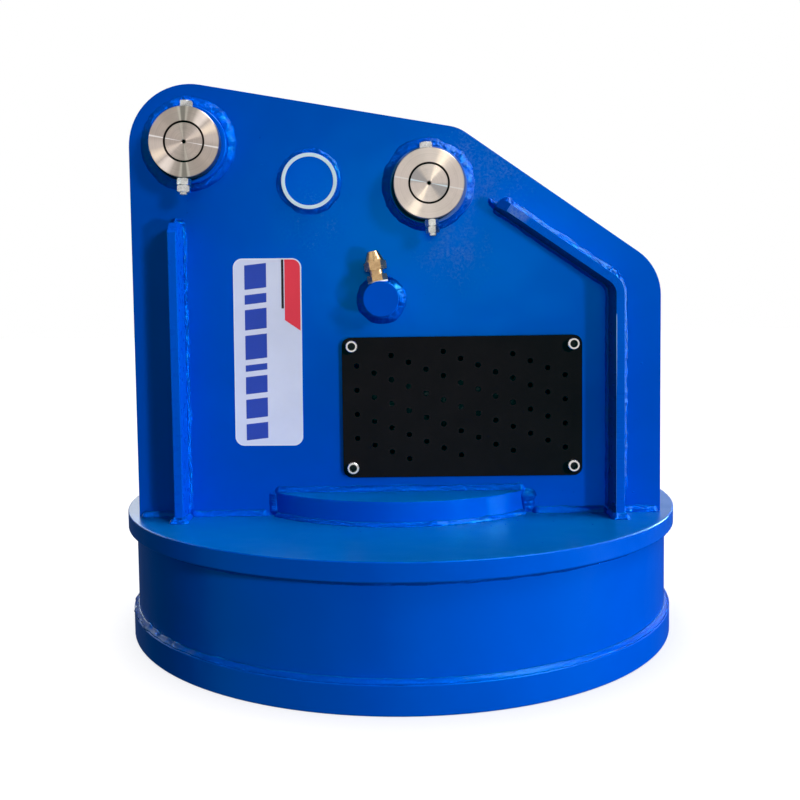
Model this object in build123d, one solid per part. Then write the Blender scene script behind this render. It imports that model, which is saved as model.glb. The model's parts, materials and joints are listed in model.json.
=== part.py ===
from build123d import *
import math
import os

# Lifting electromagnet for an excavator stick: a drum magnet with two cheek plates,
# two cross pins and a generator set in the space between the cheeks.
# Millimetres. Origin: drum axis at the pole faces. +Z up, front cheek towards -Y.

# ---------------------------------------------------------------- driving sizes
PLATE_R = 600.0        # top plate
PLATE_T = 36.0
MAG_H = 265.0          # pole face to the upper side of the top plate
YOKE_R = 345.0         # raised disc on the top plate
YOKE_T = 47.5
SHELL_RO = 582.0       # drum wall
SHELL_RI = 522.0
RING_RO = 593.0        # outer pole ring
RING_RI = 515.0
RING_H = 54.0
CORE_R = 250.0
SHOE_R = 275.0
SHOE_H = 60.0
COVER_Z0, COVER_Z1 = 14.0, 36.0
COIL_RI, COIL_RO, COIL_Z1 = 282.0, 506.0, 216.0

CHEEK_Y = 229.5        # outer face of each cheek
CHEEK_T = 25.0
GAP_Y = CHEEK_Y - CHEEK_T
CHEEK_L, CHEEK_R = -535.0, 530.7
TOP_CORNER = (-535.0, 1161.7)
PEAK = (126.6, 1043.3)
SHOULDER = (530.7, 760.0)
CHEEK_CORNERS = (124.0, 78.0, 107.0)

ARM_X, ARM_Z = -411.5, 1013.0
LINK_X, LINK_Z = 64.0, 926.0
PIN_R = 39.0
PIN_END_R = 36.9       # turned down outside the cross bolt
BORE_R = 39.05
BOSS_R = 77.0
BOSS_Y0, BOSS_Y1 = 165.0, CHEEK_Y + 28.0
COLLAR_R = 68.7
COLLAR_BORE = 39.7
COLLAR_Y0, COLLAR_Y1 = CHEEK_Y + 29.0, CHEEK_Y + 58.0
PIN_Y = CHEEK_Y + 57.5
BOLT_Y = CHEEK_Y + 43.5
BOLT_R = 8.0           # M16
ARM_TILT = 3.0         # degrees, bolt head leans this way about +Y
LINK_TILT = -4.0

BAR_T = 17.0
BAR_Y = CHEEK_Y + 68.0
BAR_X0 = -446.5        # left bar
BAR_TOP = 858.0
BAR_CUT = 21.0
RB_X = 424.2           # right bar, inner side of its upright part
RB_SLOPE = -0.692
RB_REF = (315.5, 796.2)
RB_END_X = 194.7

DECK_Z = 745.0
DECK_T = 12.0
LEDGE = 25.0

VC_X0, VC_X1 = -113.8, 370.7     # perforated cover
VC_Z0, VC_Z1 = 341.7, 626.4
VC_T = 8.0
VC_SCREW_X = (-93.5, 352.1)
VC_SCREW_Z = (362.4, 608.7)
WIN = (-91.0, 347.0, 371.0, 603.0, 44.0)
VENT_R = 5.1
VENT_COLS = 13
VENT_X0, VENT_DX = -84.2, 35.05
VENT_DZ = 49.0

BADGE_X, BADGE_Z, BADGE_R, BADGE_T = -173.2, 940.2, 57.0, 10.0
LABEL_C = (-263.3, 598.4)
LABEL_W, LABEL_H, LABEL_T, LABEL_TILT = 138.0, 380.0, 1.0, 0.4

STUB_X, STUB_Z, STUB_R, STUB_RI = -32.5, 702.2, 35.0, 23.5
STUB_Y = CHEEK_Y + 68.0
GLAND_Y = CHEEK_Y + 39.0
GLAND_TILT = 9.3
GLAND_K = 0.973

SET_Z = 486.0          # axis of the generator set
PORT_Z = 630.0
PORT_Y = 55.0
LEAD_X, LEAD_Y, LEAD_R = -388.0, 60.0, 15.0

GEAR_M, GEAR_N, GEAR_PA = 4.5, 12, 25.0
GEAR_W = 40.0
GEAR_X0 = -270.0
GEAR_CD = GEAR_M * GEAR_N
IDLER_Z = SET_Z - GEAR_CD
JOURNAL_R = 12.0

os.makedirs("parts", exist_ok=True)
PARTS = {}


def keep(name, *solids):
    out = []
    for s in solids:
        out.extend(s.solids())
    PARTS[name] = Compound(children=[Solid(s.wrapped) for s in out]) if len(out) > 1 else out[0]


# ---------------------------------------------------------------- helpers
def cyl_z(r, z0, z1, x=0.0, y=0.0):
    return Solid.make_cylinder(r, z1 - z0, Plane((x, y, z0), z_dir=(0, 0, 1)))


def cyl_y(r, y0, y1, x=0.0, z=0.0):
    return Solid.make_cylinder(r, y1 - y0, Plane((x, y0, z), z_dir=(0, 1, 0)))


def cyl_x(r, x0, x1, y=0.0, z=0.0):
    return Solid.make_cylinder(r, x1 - x0, Plane((x0, y, z), z_dir=(1, 0, 0)))


def block(x0, x1, y0, y1, z0, z1):
    return Solid.make_box(x1 - x0, y1 - y0, z1 - z0, Plane((x0, y0, z0)))


def slab_y(pts, y0, y1, fillets=None):
    """Outline in (x, z), extruded along Y; fillets maps a corner's number to a radius."""
    face = make_face(Polyline([(p[0], p[1]) for p in pts], close=True))
    sk = Sketch() + face
    if fillets:
        for i, r in fillets.items():
            px, pz = pts[i]
            v = min(sk.vertices(), key=lambda q: (q.X - px) ** 2 + (q.Y - pz) ** 2)
            sk = fillet([v], r)
    # local (x, y, z) -> (x, -z, y), so +local z is -Y
    placed = Plane((0, y1, 0), x_dir=(1, 0, 0), z_dir=(0, -1, 0)) * sk
    return extrude(placed, y1 - y0)


def rounded_slab_y(cx, cz, w, h, r, y0, y1, tilt=0.0):
    sk = Rot(0, 0, -tilt) * RectangleRounded(w, h, r)
    placed = Plane((cx, y1, cz), x_dir=(1, 0, 0), z_dir=(0, -1, 0)) * sk
    return extrude(placed, y1 - y0)


def hex_prism(af, h, plane):
    sk = RegularPolygon(af / 2, 6, major_radius=False)
    return extrude(plane * sk, h)


def revolve_z(pts):
    face = make_face(Plane.XZ * Polyline([(p[0], p[1]) for p in pts], close=True))
    return revolve(face, Axis.Z)


def rear(s):
    """The same piece on the rear side."""
    return mirror(s, Plane.XZ)


# ---------------------------------------------------------------- magnet
PLATE_Z = MAG_H - PLATE_T
lead = cyl_z(LEAD_R, 200, MAG_H + 5, LEAD_X, LEAD_Y)
keep("top_plate", fillet(cyl_z(PLATE_R, PLATE_Z, MAG_H).edges().filter_by(GeomType.CIRCLE), 2.5) - lead)
keep("yoke_disc", fillet(cyl_z(YOKE_R, MAG_H, MAG_H + YOKE_T).edges().filter_by(GeomType.CIRCLE).group_by(Axis.Z)[-1], 1.5))
keep("pole_shell", cyl_z(SHELL_RO, RING_H, PLATE_Z) - cyl_z(SHELL_RI, RING_H - 1, PLATE_Z + 1))
ring = revolve_z([(RING_RI, 0), (RING_RO - 2, 0), (RING_RO, 2), (RING_RO, RING_H - 1.5),
                  (RING_RO - 1.5, RING_H), (RING_RI, RING_H)])
keep("outer_pole_ring", ring)

bolt_xy = [(170 * math.cos(math.radians(60 * i + 30)), 170 * math.sin(math.radians(60 * i + 30)))
           for i in range(6)]
core = cyl_z(CORE_R, SHOE_H, PLATE_Z)
shoe = cyl_z(SHOE_R, 0, SHOE_H)
shoe_bolts = []
for bx, by in bolt_xy:
    core -= cyl_z(15.05, SHOE_H - 1, 128, bx, by)
    shoe -= cyl_z(15.05, -1, SHOE_H + 1, bx, by)
    shoe -= cyl_z(24.0, -1, 34.0, bx, by)
    b = cyl_z(22.5, 4.0, 34.0, bx, by) + cyl_z(15.0, 34.0, 126.0, bx, by)
    b -= hex_prism(22.0, 17.0, Plane((bx, by, 4.0), z_dir=(0, 0, 1)))
    shoe_bolts.append(b)
keep("inner_core", core)
keep("inner_pole_shoe", shoe)
keep("pole_shoe_bolts", *shoe_bolts)
keep("bottom_cover", cyl_z(RING_RI - 0.3, COVER_Z0, COVER_Z1) - cyl_z(SHOE_R + 0.3, COVER_Z0 - 1, COVER_Z1 + 1))
keep("coil", cyl_z(COIL_RO, COVER_Z1, COIL_Z1) - cyl_z(COIL_RI, COVER_Z1 - 1, COIL_Z1 + 1))
g = 0.4
jacket = revolve_z([(CORE_R + g, PLATE_Z), (SHELL_RI - g, PLATE_Z), (SHELL_RI - g, RING_H + g),
                    (RING_RI - g, RING_H + g), (RING_RI - g, COVER_Z1), (COIL_RO + g, COVER_Z1),
                    (COIL_RO + g, COIL_Z1 + g), (COIL_RI - g, COIL_Z1 + g), (COIL_RI - g, COVER_Z1),
                    (SHOE_R + g, COVER_Z1), (SHOE_R + g, SHOE_H + g), (CORE_R + g, SHOE_H + g)])
keep("coil_potting", jacket - lead)

# ---------------------------------------------------------------- cheeks
Z0 = MAG_H
outline = [(CHEEK_L, Z0), TOP_CORNER, PEAK, SHOULDER, (CHEEK_R, Z0)]
cheek = slab_y(outline, -CHEEK_Y, -GAP_Y, dict(zip((1, 2, 3), CHEEK_CORNERS)))
rim = [e for e in cheek.edges() if abs(e.position_at(0).Y - e.position_at(1).Y) < 0.01
       and e.position_at(0.5).Z > Z0 + 1]
cheek = fillet(rim, 1.5)
cheek -= cyl_z(YOKE_R + 0.6, Z0 - 1, Z0 + YOKE_T + 0.5)
wx0, wx1, wz0, wz1, wr = WIN
cheek -= rounded_slab_y((wx0 + wx1) / 2, (wz0 + wz1) / 2, wx1 - wx0, wz1 - wz0, wr, -CHEEK_Y - 1, -GAP_Y + 1)
for px, pz in ((ARM_X, ARM_Z), (LINK_X, LINK_Z)):
    cheek -= cyl_y(BOSS_R + 0.2, -CHEEK_Y - 1, -GAP_Y + 1, px, pz)
screw_xz = [(x, z) for x in VC_SCREW_X for z in VC_SCREW_Z]
for sx, sz in screw_xz:
    cheek -= cyl_y(8.05, -CHEEK_Y - 1, -GAP_Y + 1, sx, sz)
keep("cheek_rear", rear(cheek))
keep("cheek_front", cheek - cyl_y(STUB_R + 0.2, -CHEEK_Y - 1, -GAP_Y + 1, STUB_X, STUB_Z))

boss = {}
for tag, px, pz in (("arm", ARM_X, ARM_Z), ("link", LINK_X, LINK_Z)):
    b = cyl_y(BOSS_R, -BOSS_Y1, -BOSS_Y0, px, pz)
    b = chamfer(b.edges().filter_by(GeomType.CIRCLE), 1.5)
    b -= cyl_y(BORE_R, -BOSS_Y1 - 1, -BOSS_Y0 + 1, px, pz)
    keep(tag + "_boss_front", b)
    keep(tag + "_boss_rear", rear(b))

# ---------------------------------------------------------------- bars and cross plates
left_bar = block(BAR_X0, BAR_X0 + BAR_T, -BAR_Y, -CHEEK_Y, Z0, BAR_TOP)
cut = Plane((BAR_X0 - 1, 0, 0), x_dir=(0, 1, 0), z_dir=(1, 0, 0)) * make_face(
    Polyline([(-BAR_Y, BAR_TOP), (-BAR_Y + BAR_CUT, BAR_TOP), (-BAR_Y, BAR_TOP - BAR_CUT)], close=True))
left_bar -= extrude(cut, BAR_T + 2)
left_bar = fillet(left_bar.edges().filter_by(Axis.Z).group_by(Axis.Y)[0], 1.2)
keep("left_stiffener_front", left_bar)
keep("left_stiffener_rear", rear(left_bar))
keep("left_end_plate", block(BAR_X0, BAR_X0 + BAR_T, -GAP_Y, GAP_Y, Z0, BAR_TOP)
     - cyl_x(20.0, BAR_X0 - 1, BAR_X0 + BAR_T + 1, PORT_Y, PORT_Z)
     - cyl_x(20.0, BAR_X0 - 1, BAR_X0 + BAR_T + 1, -PORT_Y, PORT_Z))

ln = math.hypot(1.0, RB_SLOPE)
dx, dz = 1.0 / ln, RB_SLOPE / ln          # along the slanted part, downwards to the right
nx, nz = -dz, dx                          # outwards, up to the right


def rb_inner(x):
    return RB_REF[1] + RB_SLOPE * (x - RB_REF[0])


c_in = (RB_END_X, rb_inner(RB_END_X))
c_out = (c_in[0] + BAR_T * nx, c_in[1] + BAR_T * nz)
xo = RB_X + BAR_T
zo = c_out[1] + RB_SLOPE * (xo - c_out[0])
bent = [(RB_X, Z0), (RB_X, rb_inner(RB_X)), c_in, c_out, (xo, zo), (xo, Z0)]
right_bar = slab_y(bent, -BAR_Y, -CHEEK_Y, {1: 29.0, 4: 29.0 + BAR_T})
front_rim = [e for e in right_bar.edges() if abs(e.position_at(0).Y + BAR_Y) < 0.01 and abs(e.position_at(1).Y + BAR_Y) < 0.01
             and e.position_at(0.5).Z > Z0 + 1 and e.position_at(0.5).X > RB_END_X + BAR_T]
right_bar = fillet(front_rim, 1.2)
pl = Plane((c_in[0] - nx, 0, c_in[1] - nz), x_dir=(dx, 0, dz), z_dir=(nx, 0, nz))
tri = make_face(Polyline([(-1, -BAR_Y - 1), (BAR_CUT + 1, -BAR_Y - 1), (-1, -BAR_Y + BAR_CUT + 1)], close=True))
right_bar -= extrude(pl * tri, BAR_T + 2)
keep("right_stiffener_front", right_bar)
keep("right_stiffener_rear", rear(right_bar))
keep("right_end_plate", slab_y(bent, -GAP_Y, GAP_Y, {1: 29.0, 4: 29.0 + BAR_T}))

# ---------------------------------------------------------------- deck over the machine space
def rb_x_at(z):
    return RB_REF[0] + (z - RB_REF[1]) / RB_SLOPE


dz1 = DECK_Z + DECK_T
deck = slab_y([(BAR_X0 + BAR_T + 0.5, DECK_Z), (rb_x_at(DECK_Z) - 1.0, DECK_Z),
               (rb_x_at(dz1) - 1.0, dz1), (BAR_X0 + BAR_T + 0.5, dz1)], -GAP_Y + 0.5, GAP_Y - 0.5)
ledge = block(-425.0, 345.0, -GAP_Y, -GAP_Y + LEDGE, DECK_Z - 22, DECK_Z)
deck_bolt_xy = [(x, s * (GAP_Y - 12.5)) for x in (-400.0, -157.0, 86.0, 328.0) for s in (-1, 1)]
ledges = [ledge, rear(ledge)]
dbolts = []
for bx, by in deck_bolt_xy:
    deck -= cyl_z(6.6, DECK_Z - 1, dz1 + 1, bx, by)
    ledges = [q - cyl_z(6.05, DECK_Z - 30, DECK_Z + 1, bx, by) for q in ledges]
    head = hex_prism(18.0, 7.5, Plane((bx, by, dz1), z_dir=(0, 0, 1)))
    dbolts.append(head + cyl_z(6.0, DECK_Z - 18, dz1, bx, by))
keep("deck_plate", deck)
keep("deck_ledges", *ledges)
keep("deck_bolts", *dbolts)


# ---------------------------------------------------------------- cross pins
# how far each head and nut is turned, degrees; 30 puts a corner in front
HEX_TURN = {"arm": (45.0, 15.0, 30.0), "link": (30.0, 0.0, -6.0)}


def pin_set(tag, px, pz, tilt):
    axis = Axis((px, 0, pz), (0, 1, 0))
    pin = cyl_y(PIN_R, -COLLAR_Y1 + 12.0, COLLAR_Y1 - 12.0, px, pz) + cyl_y(PIN_END_R, -PIN_Y, PIN_Y, px, pz)
    ends = [e for e in pin.edges().filter_by(GeomType.CIRCLE) if abs(abs(e.position_at(0).Y) - PIN_Y) < 0.01]
    pin = chamfer(ends, 0.6)
    for s in (-1, 1):
        pin -= cyl_y(3.2, min(s * PIN_Y, s * (PIN_Y - 9)), max(s * PIN_Y, s * (PIN_Y - 9)), px, pz)
        cone = Solid.make_cone(5.2, 3.2, 2.0, Plane((px, s * PIN_Y, pz), z_dir=(0, -s, 0)))
        pin -= cone
        pin -= cyl_z(8.5, pz - 60, pz + 60, px, s * BOLT_Y)
    col = cyl_y(COLLAR_R, -COLLAR_Y1, -COLLAR_Y0, px, pz)
    col = chamfer(col.edges().filter_by(GeomType.CIRCLE), 1.2)
    col -= cyl_y(COLLAR_BORE, -COLLAR_Y1 - 1, -COLLAR_Y0 + 1, px, pz)
    col -= Solid.make_cone(COLLAR_BORE + 0.6, COLLAR_BORE, 0.6, Plane((px, -COLLAR_Y1, pz), z_dir=(0, 1, 0)))
    col -= cyl_z(8.5, pz - 80, pz + 80, px, -BOLT_Y)
    bolts, nuts = [], []
    for s in (-1, 1):
        up = Plane((px, s * BOLT_Y, pz + COLLAR_R + 0.3), z_dir=(0, 0, 1))
        head = hex_prism(24.0, 11.0, up.rotated((0, 0, HEX_TURN[tag][0])))
        head = head & Solid.make_cone(18.5, 12.3, 11.0, up)
        shank = cyl_z(BOLT_R, pz - 102.2, pz + COLLAR_R + 0.3, px, s * BOLT_Y)
        shank = chamfer(shank.edges().group_by(Axis.Z)[0], 1.5)
        bolts.append(head + shank)
        for z0, turn in ((pz - 82.4, HEX_TURN[tag][1]), (pz - 96.3, HEX_TURN[tag][2])):
            q = Plane((px, s * BOLT_Y, z0), x_dir=(1, 0, 0), z_dir=(0, 0, 1))
            n = hex_prism(24.0, 13.0, q.rotated((0, 0, turn))) - cyl_z(BOLT_R + 0.05, z0 - 1, z0 + 14, px, s * BOLT_Y)
            n = n & Solid.make_cone(12.2, 25.2, 13.0, q) & Solid.make_cone(25.2, 12.2, 13.0, q)
            nuts.append(n)
    keep(tag + "_pin", pin.rotate(axis, tilt))
    keep(tag + "_collar_front", col.rotate(axis, tilt))
    keep(tag + "_collar_rear", rear(col).rotate(axis, tilt))
    keep(tag + "_collar_bolts", *[b.rotate(axis, tilt) for b in bolts])
    keep(tag + "_collar_nuts", *[n.rotate(axis, tilt) for n in nuts])


pin_set("arm", ARM_X, ARM_Z, ARM_TILT)
pin_set("link", LINK_X, LINK_Z, LINK_TILT)

# ---------------------------------------------------------------- perforated covers
vcx, vcz = (VC_X0 + VC_X1) / 2, (VC_Z0 + VC_Z1) / 2
cover = rounded_slab_y(vcx, vcz, VC_X1 - VC_X0, VC_Z1 - VC_Z0, 17.5, -CHEEK_Y - VC_T, -CHEEK_Y)
for sx, sz in screw_xz:
    cover -= cyl_y(8.8, -CHEEK_Y - VC_T - 1, -CHEEK_Y + 1, sx, sz)
plate = cover
TOPS = (568.9, 554.3, 589.4, 575.3, 560.8, 596.3, 581.7, 568.2, 553.6, 589.6, 575.1, 560.6, 546.0)
ROWS = (4, 4, 5, 5, 4, 5, 5, 4, 4, 5, 4, 4, 4)
vent_holes = [(VENT_X0 + VENT_DX * i, TOPS[i] - VENT_DZ * j) for i in range(VENT_COLS) for j in range(ROWS[i])]
for hx, hz in vent_holes:
    cover -= cyl_y(VENT_R, -CHEEK_Y - VC_T - 1, -CHEEK_Y + 1, hx, hz)
# the rear cover is drilled the other way round, so no line of sight runs through both
for hx, hz in vent_holes:
    hx, hz = 2 * vcx - hx + 10.0, hz + 20.0
    if WIN[0] + 6 < hx < WIN[1] - 6 and WIN[2] + 6 < hz < WIN[3] - 6:
        plate -= cyl_y(VENT_R, -CHEEK_Y - VC_T - 1, -CHEEK_Y + 1, hx, hz)
screws = []
for sx, sz in screw_xz:
    face_y = -CHEEK_Y - VC_T
    h = cyl_y(11.7, face_y - 12.0, face_y, sx, sz)
    h = chamfer(h.edges().filter_by(GeomType.CIRCLE).group_by(Axis.Y)[0], 1.0)
    h -= hex_prism(13.6, 9.0, Plane((sx, face_y - 12.0, sz), x_dir=(1, 0, 0), z_dir=(0, 1, 0)))
    screws.append(h + cyl_y(8.0, face_y, -GAP_Y - 2, sx, sz))
keep("vent_cover_front", cover)
keep("vent_cover_rear", rear(plate))
keep("vent_cover_screws", *(screws + [rear(s) for s in screws]))

# ---------------------------------------------------------------- badge and label
badge = cyl_y(BADGE_R, -CHEEK_Y - BADGE_T, -CHEEK_Y, BADGE_X, BADGE_Z)
keep("badge_disc", chamfer(badge.edges().filter_by(GeomType.CIRCLE).group_by(Axis.Y)[0], 1.0))
keep("label_plate", rounded_slab_y(LABEL_C[0], LABEL_C[1], LABEL_W, LABEL_H, 18.5,
                                   -CHEEK_Y - LABEL_T, -CHEEK_Y, LABEL_TILT))

# ---------------------------------------------------------------- cable stub and gland
stub = cyl_y(STUB_R, -STUB_Y, -GAP_Y, STUB_X, STUB_Z)
stub = chamfer(stub.edges().filter_by(GeomType.CIRCLE).group_by(Axis.Y)[0], 1.0)
stub -= cyl_y(STUB_RI, -STUB_Y + 10, -GAP_Y + 1, STUB_X, STUB_Z)
ta = math.radians(GLAND_TILT)
gd = (-math.sin(ta), 0.0, math.cos(ta))


def gl(r):
    r *= GLAND_K
    return Plane((STUB_X + gd[0] * r, -GLAND_Y, STUB_Z + gd[2] * r), x_dir=(gd[2], 0, -gd[0]), z_dir=gd)


def gcyl(r, h, r0):
    return Solid.make_cylinder(r * GLAND_K, h * GLAND_K, gl(r0))


def gcone(ra, rb, h, r0):
    return Solid.make_cone(ra * GLAND_K, rb * GLAND_K, h * GLAND_K, gl(r0))


stub -= gcyl(22.0, 10.0, 34.5)
stub -= gcyl(12.55, 30.0, 10.0)
keep("cable_stub", stub)
keep("gland_seal", gcyl(20.6, 2.8, 34.5) - gcyl(12.6, 4.0, 34.0))
body = hex_prism(36.0 * GLAND_K, 13.5 * GLAND_K, gl(37.3)) & gcone(19.5, 33.0, 13.5, 37.3) \
    & gcone(33.0, 19.5, 13.5, 37.3)
body += gcyl(12.5, 14.3, 23.0)
body += gcyl(14.3, 30.0, 50.0)
body -= gcyl(9.0, 80.0, 20.0)
nut = hex_prism(40.0 * GLAND_K, 17.5 * GLAND_K, gl(59.5)) & gcone(21.4, 38.9, 17.5, 59.5)
dome = gcone(19.8, 18.6, 4.0, 77.0) + gcone(18.6, 15.0, 9.0, 81.0) + gcone(15.0, 11.5, 8.0, 90.0)
nut = nut + dome
nut -= gcyl(14.35, 21.5, 59.0)
nut -= gcyl(8.5, 60.0, 60.0)
keep("gland_body", body)
keep("gland_nut", nut)

# ---------------------------------------------------------------- hydraulic bulkhead unions
ports, locks = [], []
for sy in (-PORT_Y, PORT_Y):
    p = hex_prism(50.0, 24.0, Plane((BAR_X0 - 24.0, sy, PORT_Z), x_dir=(0, 0, 1), z_dir=(1, 0, 0)))
    p += cyl_x(19.9, BAR_X0, BAR_X0 + BAR_T + 26.0, sy, PORT_Z)
    p -= cyl_x(15.15, BAR_X0 - 25.0, BAR_X0 - 2.0, sy, PORT_Z)
    p -= cyl_x(10.0, BAR_X0 - 30.0, BAR_X0 + BAR_T + 30.0, sy, PORT_Z)
    ports.append(p)
    k = hex_prism(50.0, 14.0, Plane((BAR_X0 + BAR_T, sy, PORT_Z), x_dir=(0, 0, 1), z_dir=(1, 0, 0)))
    locks.append(k - cyl_x(19.95, BAR_X0 + BAR_T - 1, BAR_X0 + BAR_T + 15, sy, PORT_Z))
keep("hydraulic_ports", *ports)
keep("port_locknuts", *locks)


# ---------------------------------------------------------------- gear motor
def gear_face(phase):
    """Involute spur gear outline, one tooth centred on angle phase (degrees)."""
    m, n, pa = GEAR_M, GEAR_N, math.radians(GEAR_PA)
    rp = m * n / 2
    rb = rp * math.cos(pa)
    ra, rf = rp + m * 0.95, rp - 1.25 * m
    half = math.pi / (2 * n) - 0.12 / rp          # thinned for backlash
    inv_p = math.tan(pa) - pa

    def ang(r):
        if r <= rb:
            return half + inv_p
        a = math.acos(rb / r)
        return half + inv_p - (math.tan(a) - a)
    pts = []
    radii = [rb + (ra - rb) * k / 6 for k in range(7)]
    for i in range(n):
        c = math.radians(phase) + 2 * math.pi * i / n
        root = half + inv_p
        pts.append((rf * math.cos(c - root), rf * math.sin(c - root)))
        for r in radii:
            pts.append((r * math.cos(c - ang(r)), r * math.sin(c - ang(r))))
        for r in reversed(radii):
            pts.append((r * math.cos(c + ang(r)), r * math.sin(c + ang(r))))
        pts.append((rf * math.cos(c + root), rf * math.sin(c + root)))
    return make_face(Polyline(pts, close=True))


def gear(zc, phase):
    pl_g = Plane((GEAR_X0, 0, zc), x_dir=(0, 1, 0), z_dir=(1, 0, 0))   # local x = +Y, local y = +Z
    return extrude(pl_g * gear_face(phase), GEAR_W)


jr = JOURNAL_R
drive = gear(SET_Z, -90.0) + cyl_x(jr, GEAR_X0 - 14, -118.0, 0, SET_Z)
idler = gear(IDLER_Z, 90.0 + 180.0 / GEAR_N) + cyl_x(jr, GEAR_X0 - 14, GEAR_X0 + GEAR_W + 20, 0, IDLER_Z)
keep("drive_gear", drive)
keep("idler_gear", idler)
cav_r = GEAR_M * GEAR_N / 2 + GEAR_M * 0.95 + 0.25
mb = block(-292.0, -229.8, -56.0, 56.0, IDLER_Z - 48.0, SET_Z + 48.0)
mb = fillet(mb.edges().filter_by(Axis.X), 14.0)
for zc in (SET_Z, IDLER_Z):
    mb -= cyl_x(cav_r, GEAR_X0 - 0.2, -229.0, 0, zc)
    mb -= cyl_x(jr + 0.05, GEAR_X0 - 15, -229.0, 0, zc)
zm = (SET_Z + IDLER_Z) / 2
for s in (-1, 1):
    mb -= cyl_y(11.0, min(0, s * 60), max(0, s * 60), -250.0, zm)
keep("motor_body", mb)
fl = block(-229.8, -204.0, -68.0, 68.0, Z0 + YOKE_T + 12.0, SET_Z + 56.0)
fl = fillet(fl.edges().filter_by(Axis.X).group_by(Axis.Z)[-1], 20.0)
fl -= cyl_x(jr + 0.05, -231.0, -203.0, 0, SET_Z)
fl -= cyl_x(jr + 0.05, -231.0, -209.5, 0, IDLER_Z)
keep("motor_flange", fl)

# ---------------------------------------------------------------- generator
keep("shaft_coupling", cyl_x(34.0, -160.0, -92.0, 0, SET_Z) - cyl_x(jr + 0.03, -161.0, -117.5, 0, SET_Z)
     - cyl_x(16.03, -117.5, -91.0, 0, SET_Z))
hous = cyl_x(130.0, -40.0, 270.0, 0, SET_Z) - cyl_x(120.0, -41.0, 256.0, 0, SET_Z)
hous += cyl_x(52.0, 236.0, 257.0, 0, SET_Z)
hous -= cyl_x(40.03, 235.0, 258.0, 0, SET_Z)
hous -= cyl_x(21.5, 230.0, 271.0, 0, SET_Z)
for k in range(8):
    a = math.radians(45 * k + 22.5)
    hous -= cyl_x(13.0, 250.0, 275.0, 85 * math.cos(a), SET_Z + 85 * math.sin(a))
keep("generator_housing", hous)
shield = cyl_x(130.0, -54.0, -40.0, 0, SET_Z) + cyl_x(119.8, -40.0, -32.0, 0, SET_Z)
shield -= cyl_x(40.03, -50.0, -31.0, 0, SET_Z)
shield -= cyl_x(21.5, -55.0, -49.0, 0, SET_Z)
keep("end_shield", shield)
stator = cyl_x(119.9, 40.0, 180.0, 0, SET_Z) - cyl_x(86.0, 39.0, 181.0, 0, SET_Z)
wind = (cyl_x(113.0, 18.0, 40.0, 0, SET_Z) - cyl_x(90.0, 17.0, 41.0, 0, SET_Z)) \
    + (cyl_x(113.0, 180.0, 202.0, 0, SET_Z) - cyl_x(90.0, 179.0, 203.0, 0, SET_Z))
for k in range(12):
    a = math.radians(30 * k)
    sy, sz = 101.5 * math.cos(a), SET_Z + 101.5 * math.sin(a)
    stator -= cyl_x(8.2, 39.0, 181.0, sy, sz)
    wind += cyl_x(8.0, 30.0, 190.0, sy, sz)
keep("stator_core", stator)
keep("stator_winding", wind)
shaft = cyl_x(16.0, -117.4, -54.0, 0, SET_Z) + cyl_x(20.0, -54.0, 262.0, 0, SET_Z) \
    + cyl_x(26.0, -31.0, 235.0, 0, SET_Z)
keep("rotor_shaft", shaft)
rot = cyl_x(85.2, 38.0, 182.0, 0, SET_Z) - cyl_x(26.03, 37.0, 183.0, 0, SET_Z)
for k in range(8):
    a = math.radians(45 * k)
    rot -= cyl_x(9.0, 37.0, 183.0, 55 * math.cos(a), SET_Z + 55 * math.sin(a))
keep("rotor_core", rot)
bear = []
for x0 in (-50.0, 236.0):
    bear.append(cyl_x(40.0, x0, x0 + 18.0, 0, SET_Z) - cyl_x(20.05, x0 - 1, x0 + 19.0, 0, SET_Z))
keep("rotor_bearings", *bear)
fan = cyl_x(40.0, 206.0, 230.0, 0, SET_Z) + cyl_x(108.0, 206.0, 209.0, 0, SET_Z)
for k in range(10):
    bl = block(208.5, 228.0, 36.0, 106.0, SET_Z - 1.5, SET_Z + 1.5)
    fan += bl.rotate(Axis((0, 0, SET_Z), (1, 0, 0)), 36.0 * k)
fan -= cyl_x(26.03, 205.0, 231.0, 0, SET_Z)
keep("cooling_fan", fan)
bz0 = Z0 + YOKE_T
base = block(-290.0, 290.0, -110.0, 110.0, bz0, bz0 + 12.0)
for x0 in (-8.0, 212.0):
    s = block(x0, x0 + 16.0, -100.0, 100.0, bz0 + 12.0, SET_Z - 60.0)
    base += s
base -= cyl_x(130.05, -60.0, 290.0, 0, SET_Z)
keep("generator_base", base)

# ---------------------------------------------------------------- write
for name, shape in PARTS.items():
    export_step(shape, os.path.join("parts", name + ".step"))
print(len(PARTS), "nodes")
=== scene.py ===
import json
import math

import bmesh
import bpy
import numpy as np
from mathutils import Matrix, Vector


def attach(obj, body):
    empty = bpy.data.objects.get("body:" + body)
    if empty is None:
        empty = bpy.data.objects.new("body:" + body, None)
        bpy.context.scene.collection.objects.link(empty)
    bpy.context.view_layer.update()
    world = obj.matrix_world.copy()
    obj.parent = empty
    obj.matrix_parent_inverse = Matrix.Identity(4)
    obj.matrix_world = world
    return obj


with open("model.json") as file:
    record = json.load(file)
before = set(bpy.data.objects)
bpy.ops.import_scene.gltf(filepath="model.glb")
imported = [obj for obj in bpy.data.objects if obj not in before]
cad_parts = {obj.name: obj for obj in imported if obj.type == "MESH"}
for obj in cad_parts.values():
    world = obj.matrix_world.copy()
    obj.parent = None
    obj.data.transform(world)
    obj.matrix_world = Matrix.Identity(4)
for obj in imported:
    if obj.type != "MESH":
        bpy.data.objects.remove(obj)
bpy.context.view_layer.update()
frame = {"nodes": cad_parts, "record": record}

# ------------------------------------------------------------------ sizes, metres, same frame as the CAD
TOP = 0.265                    # upper face of the thick round plate
DISC = 0.3125                  # upper face of the raised disc
DISC_R = 0.345
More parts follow.
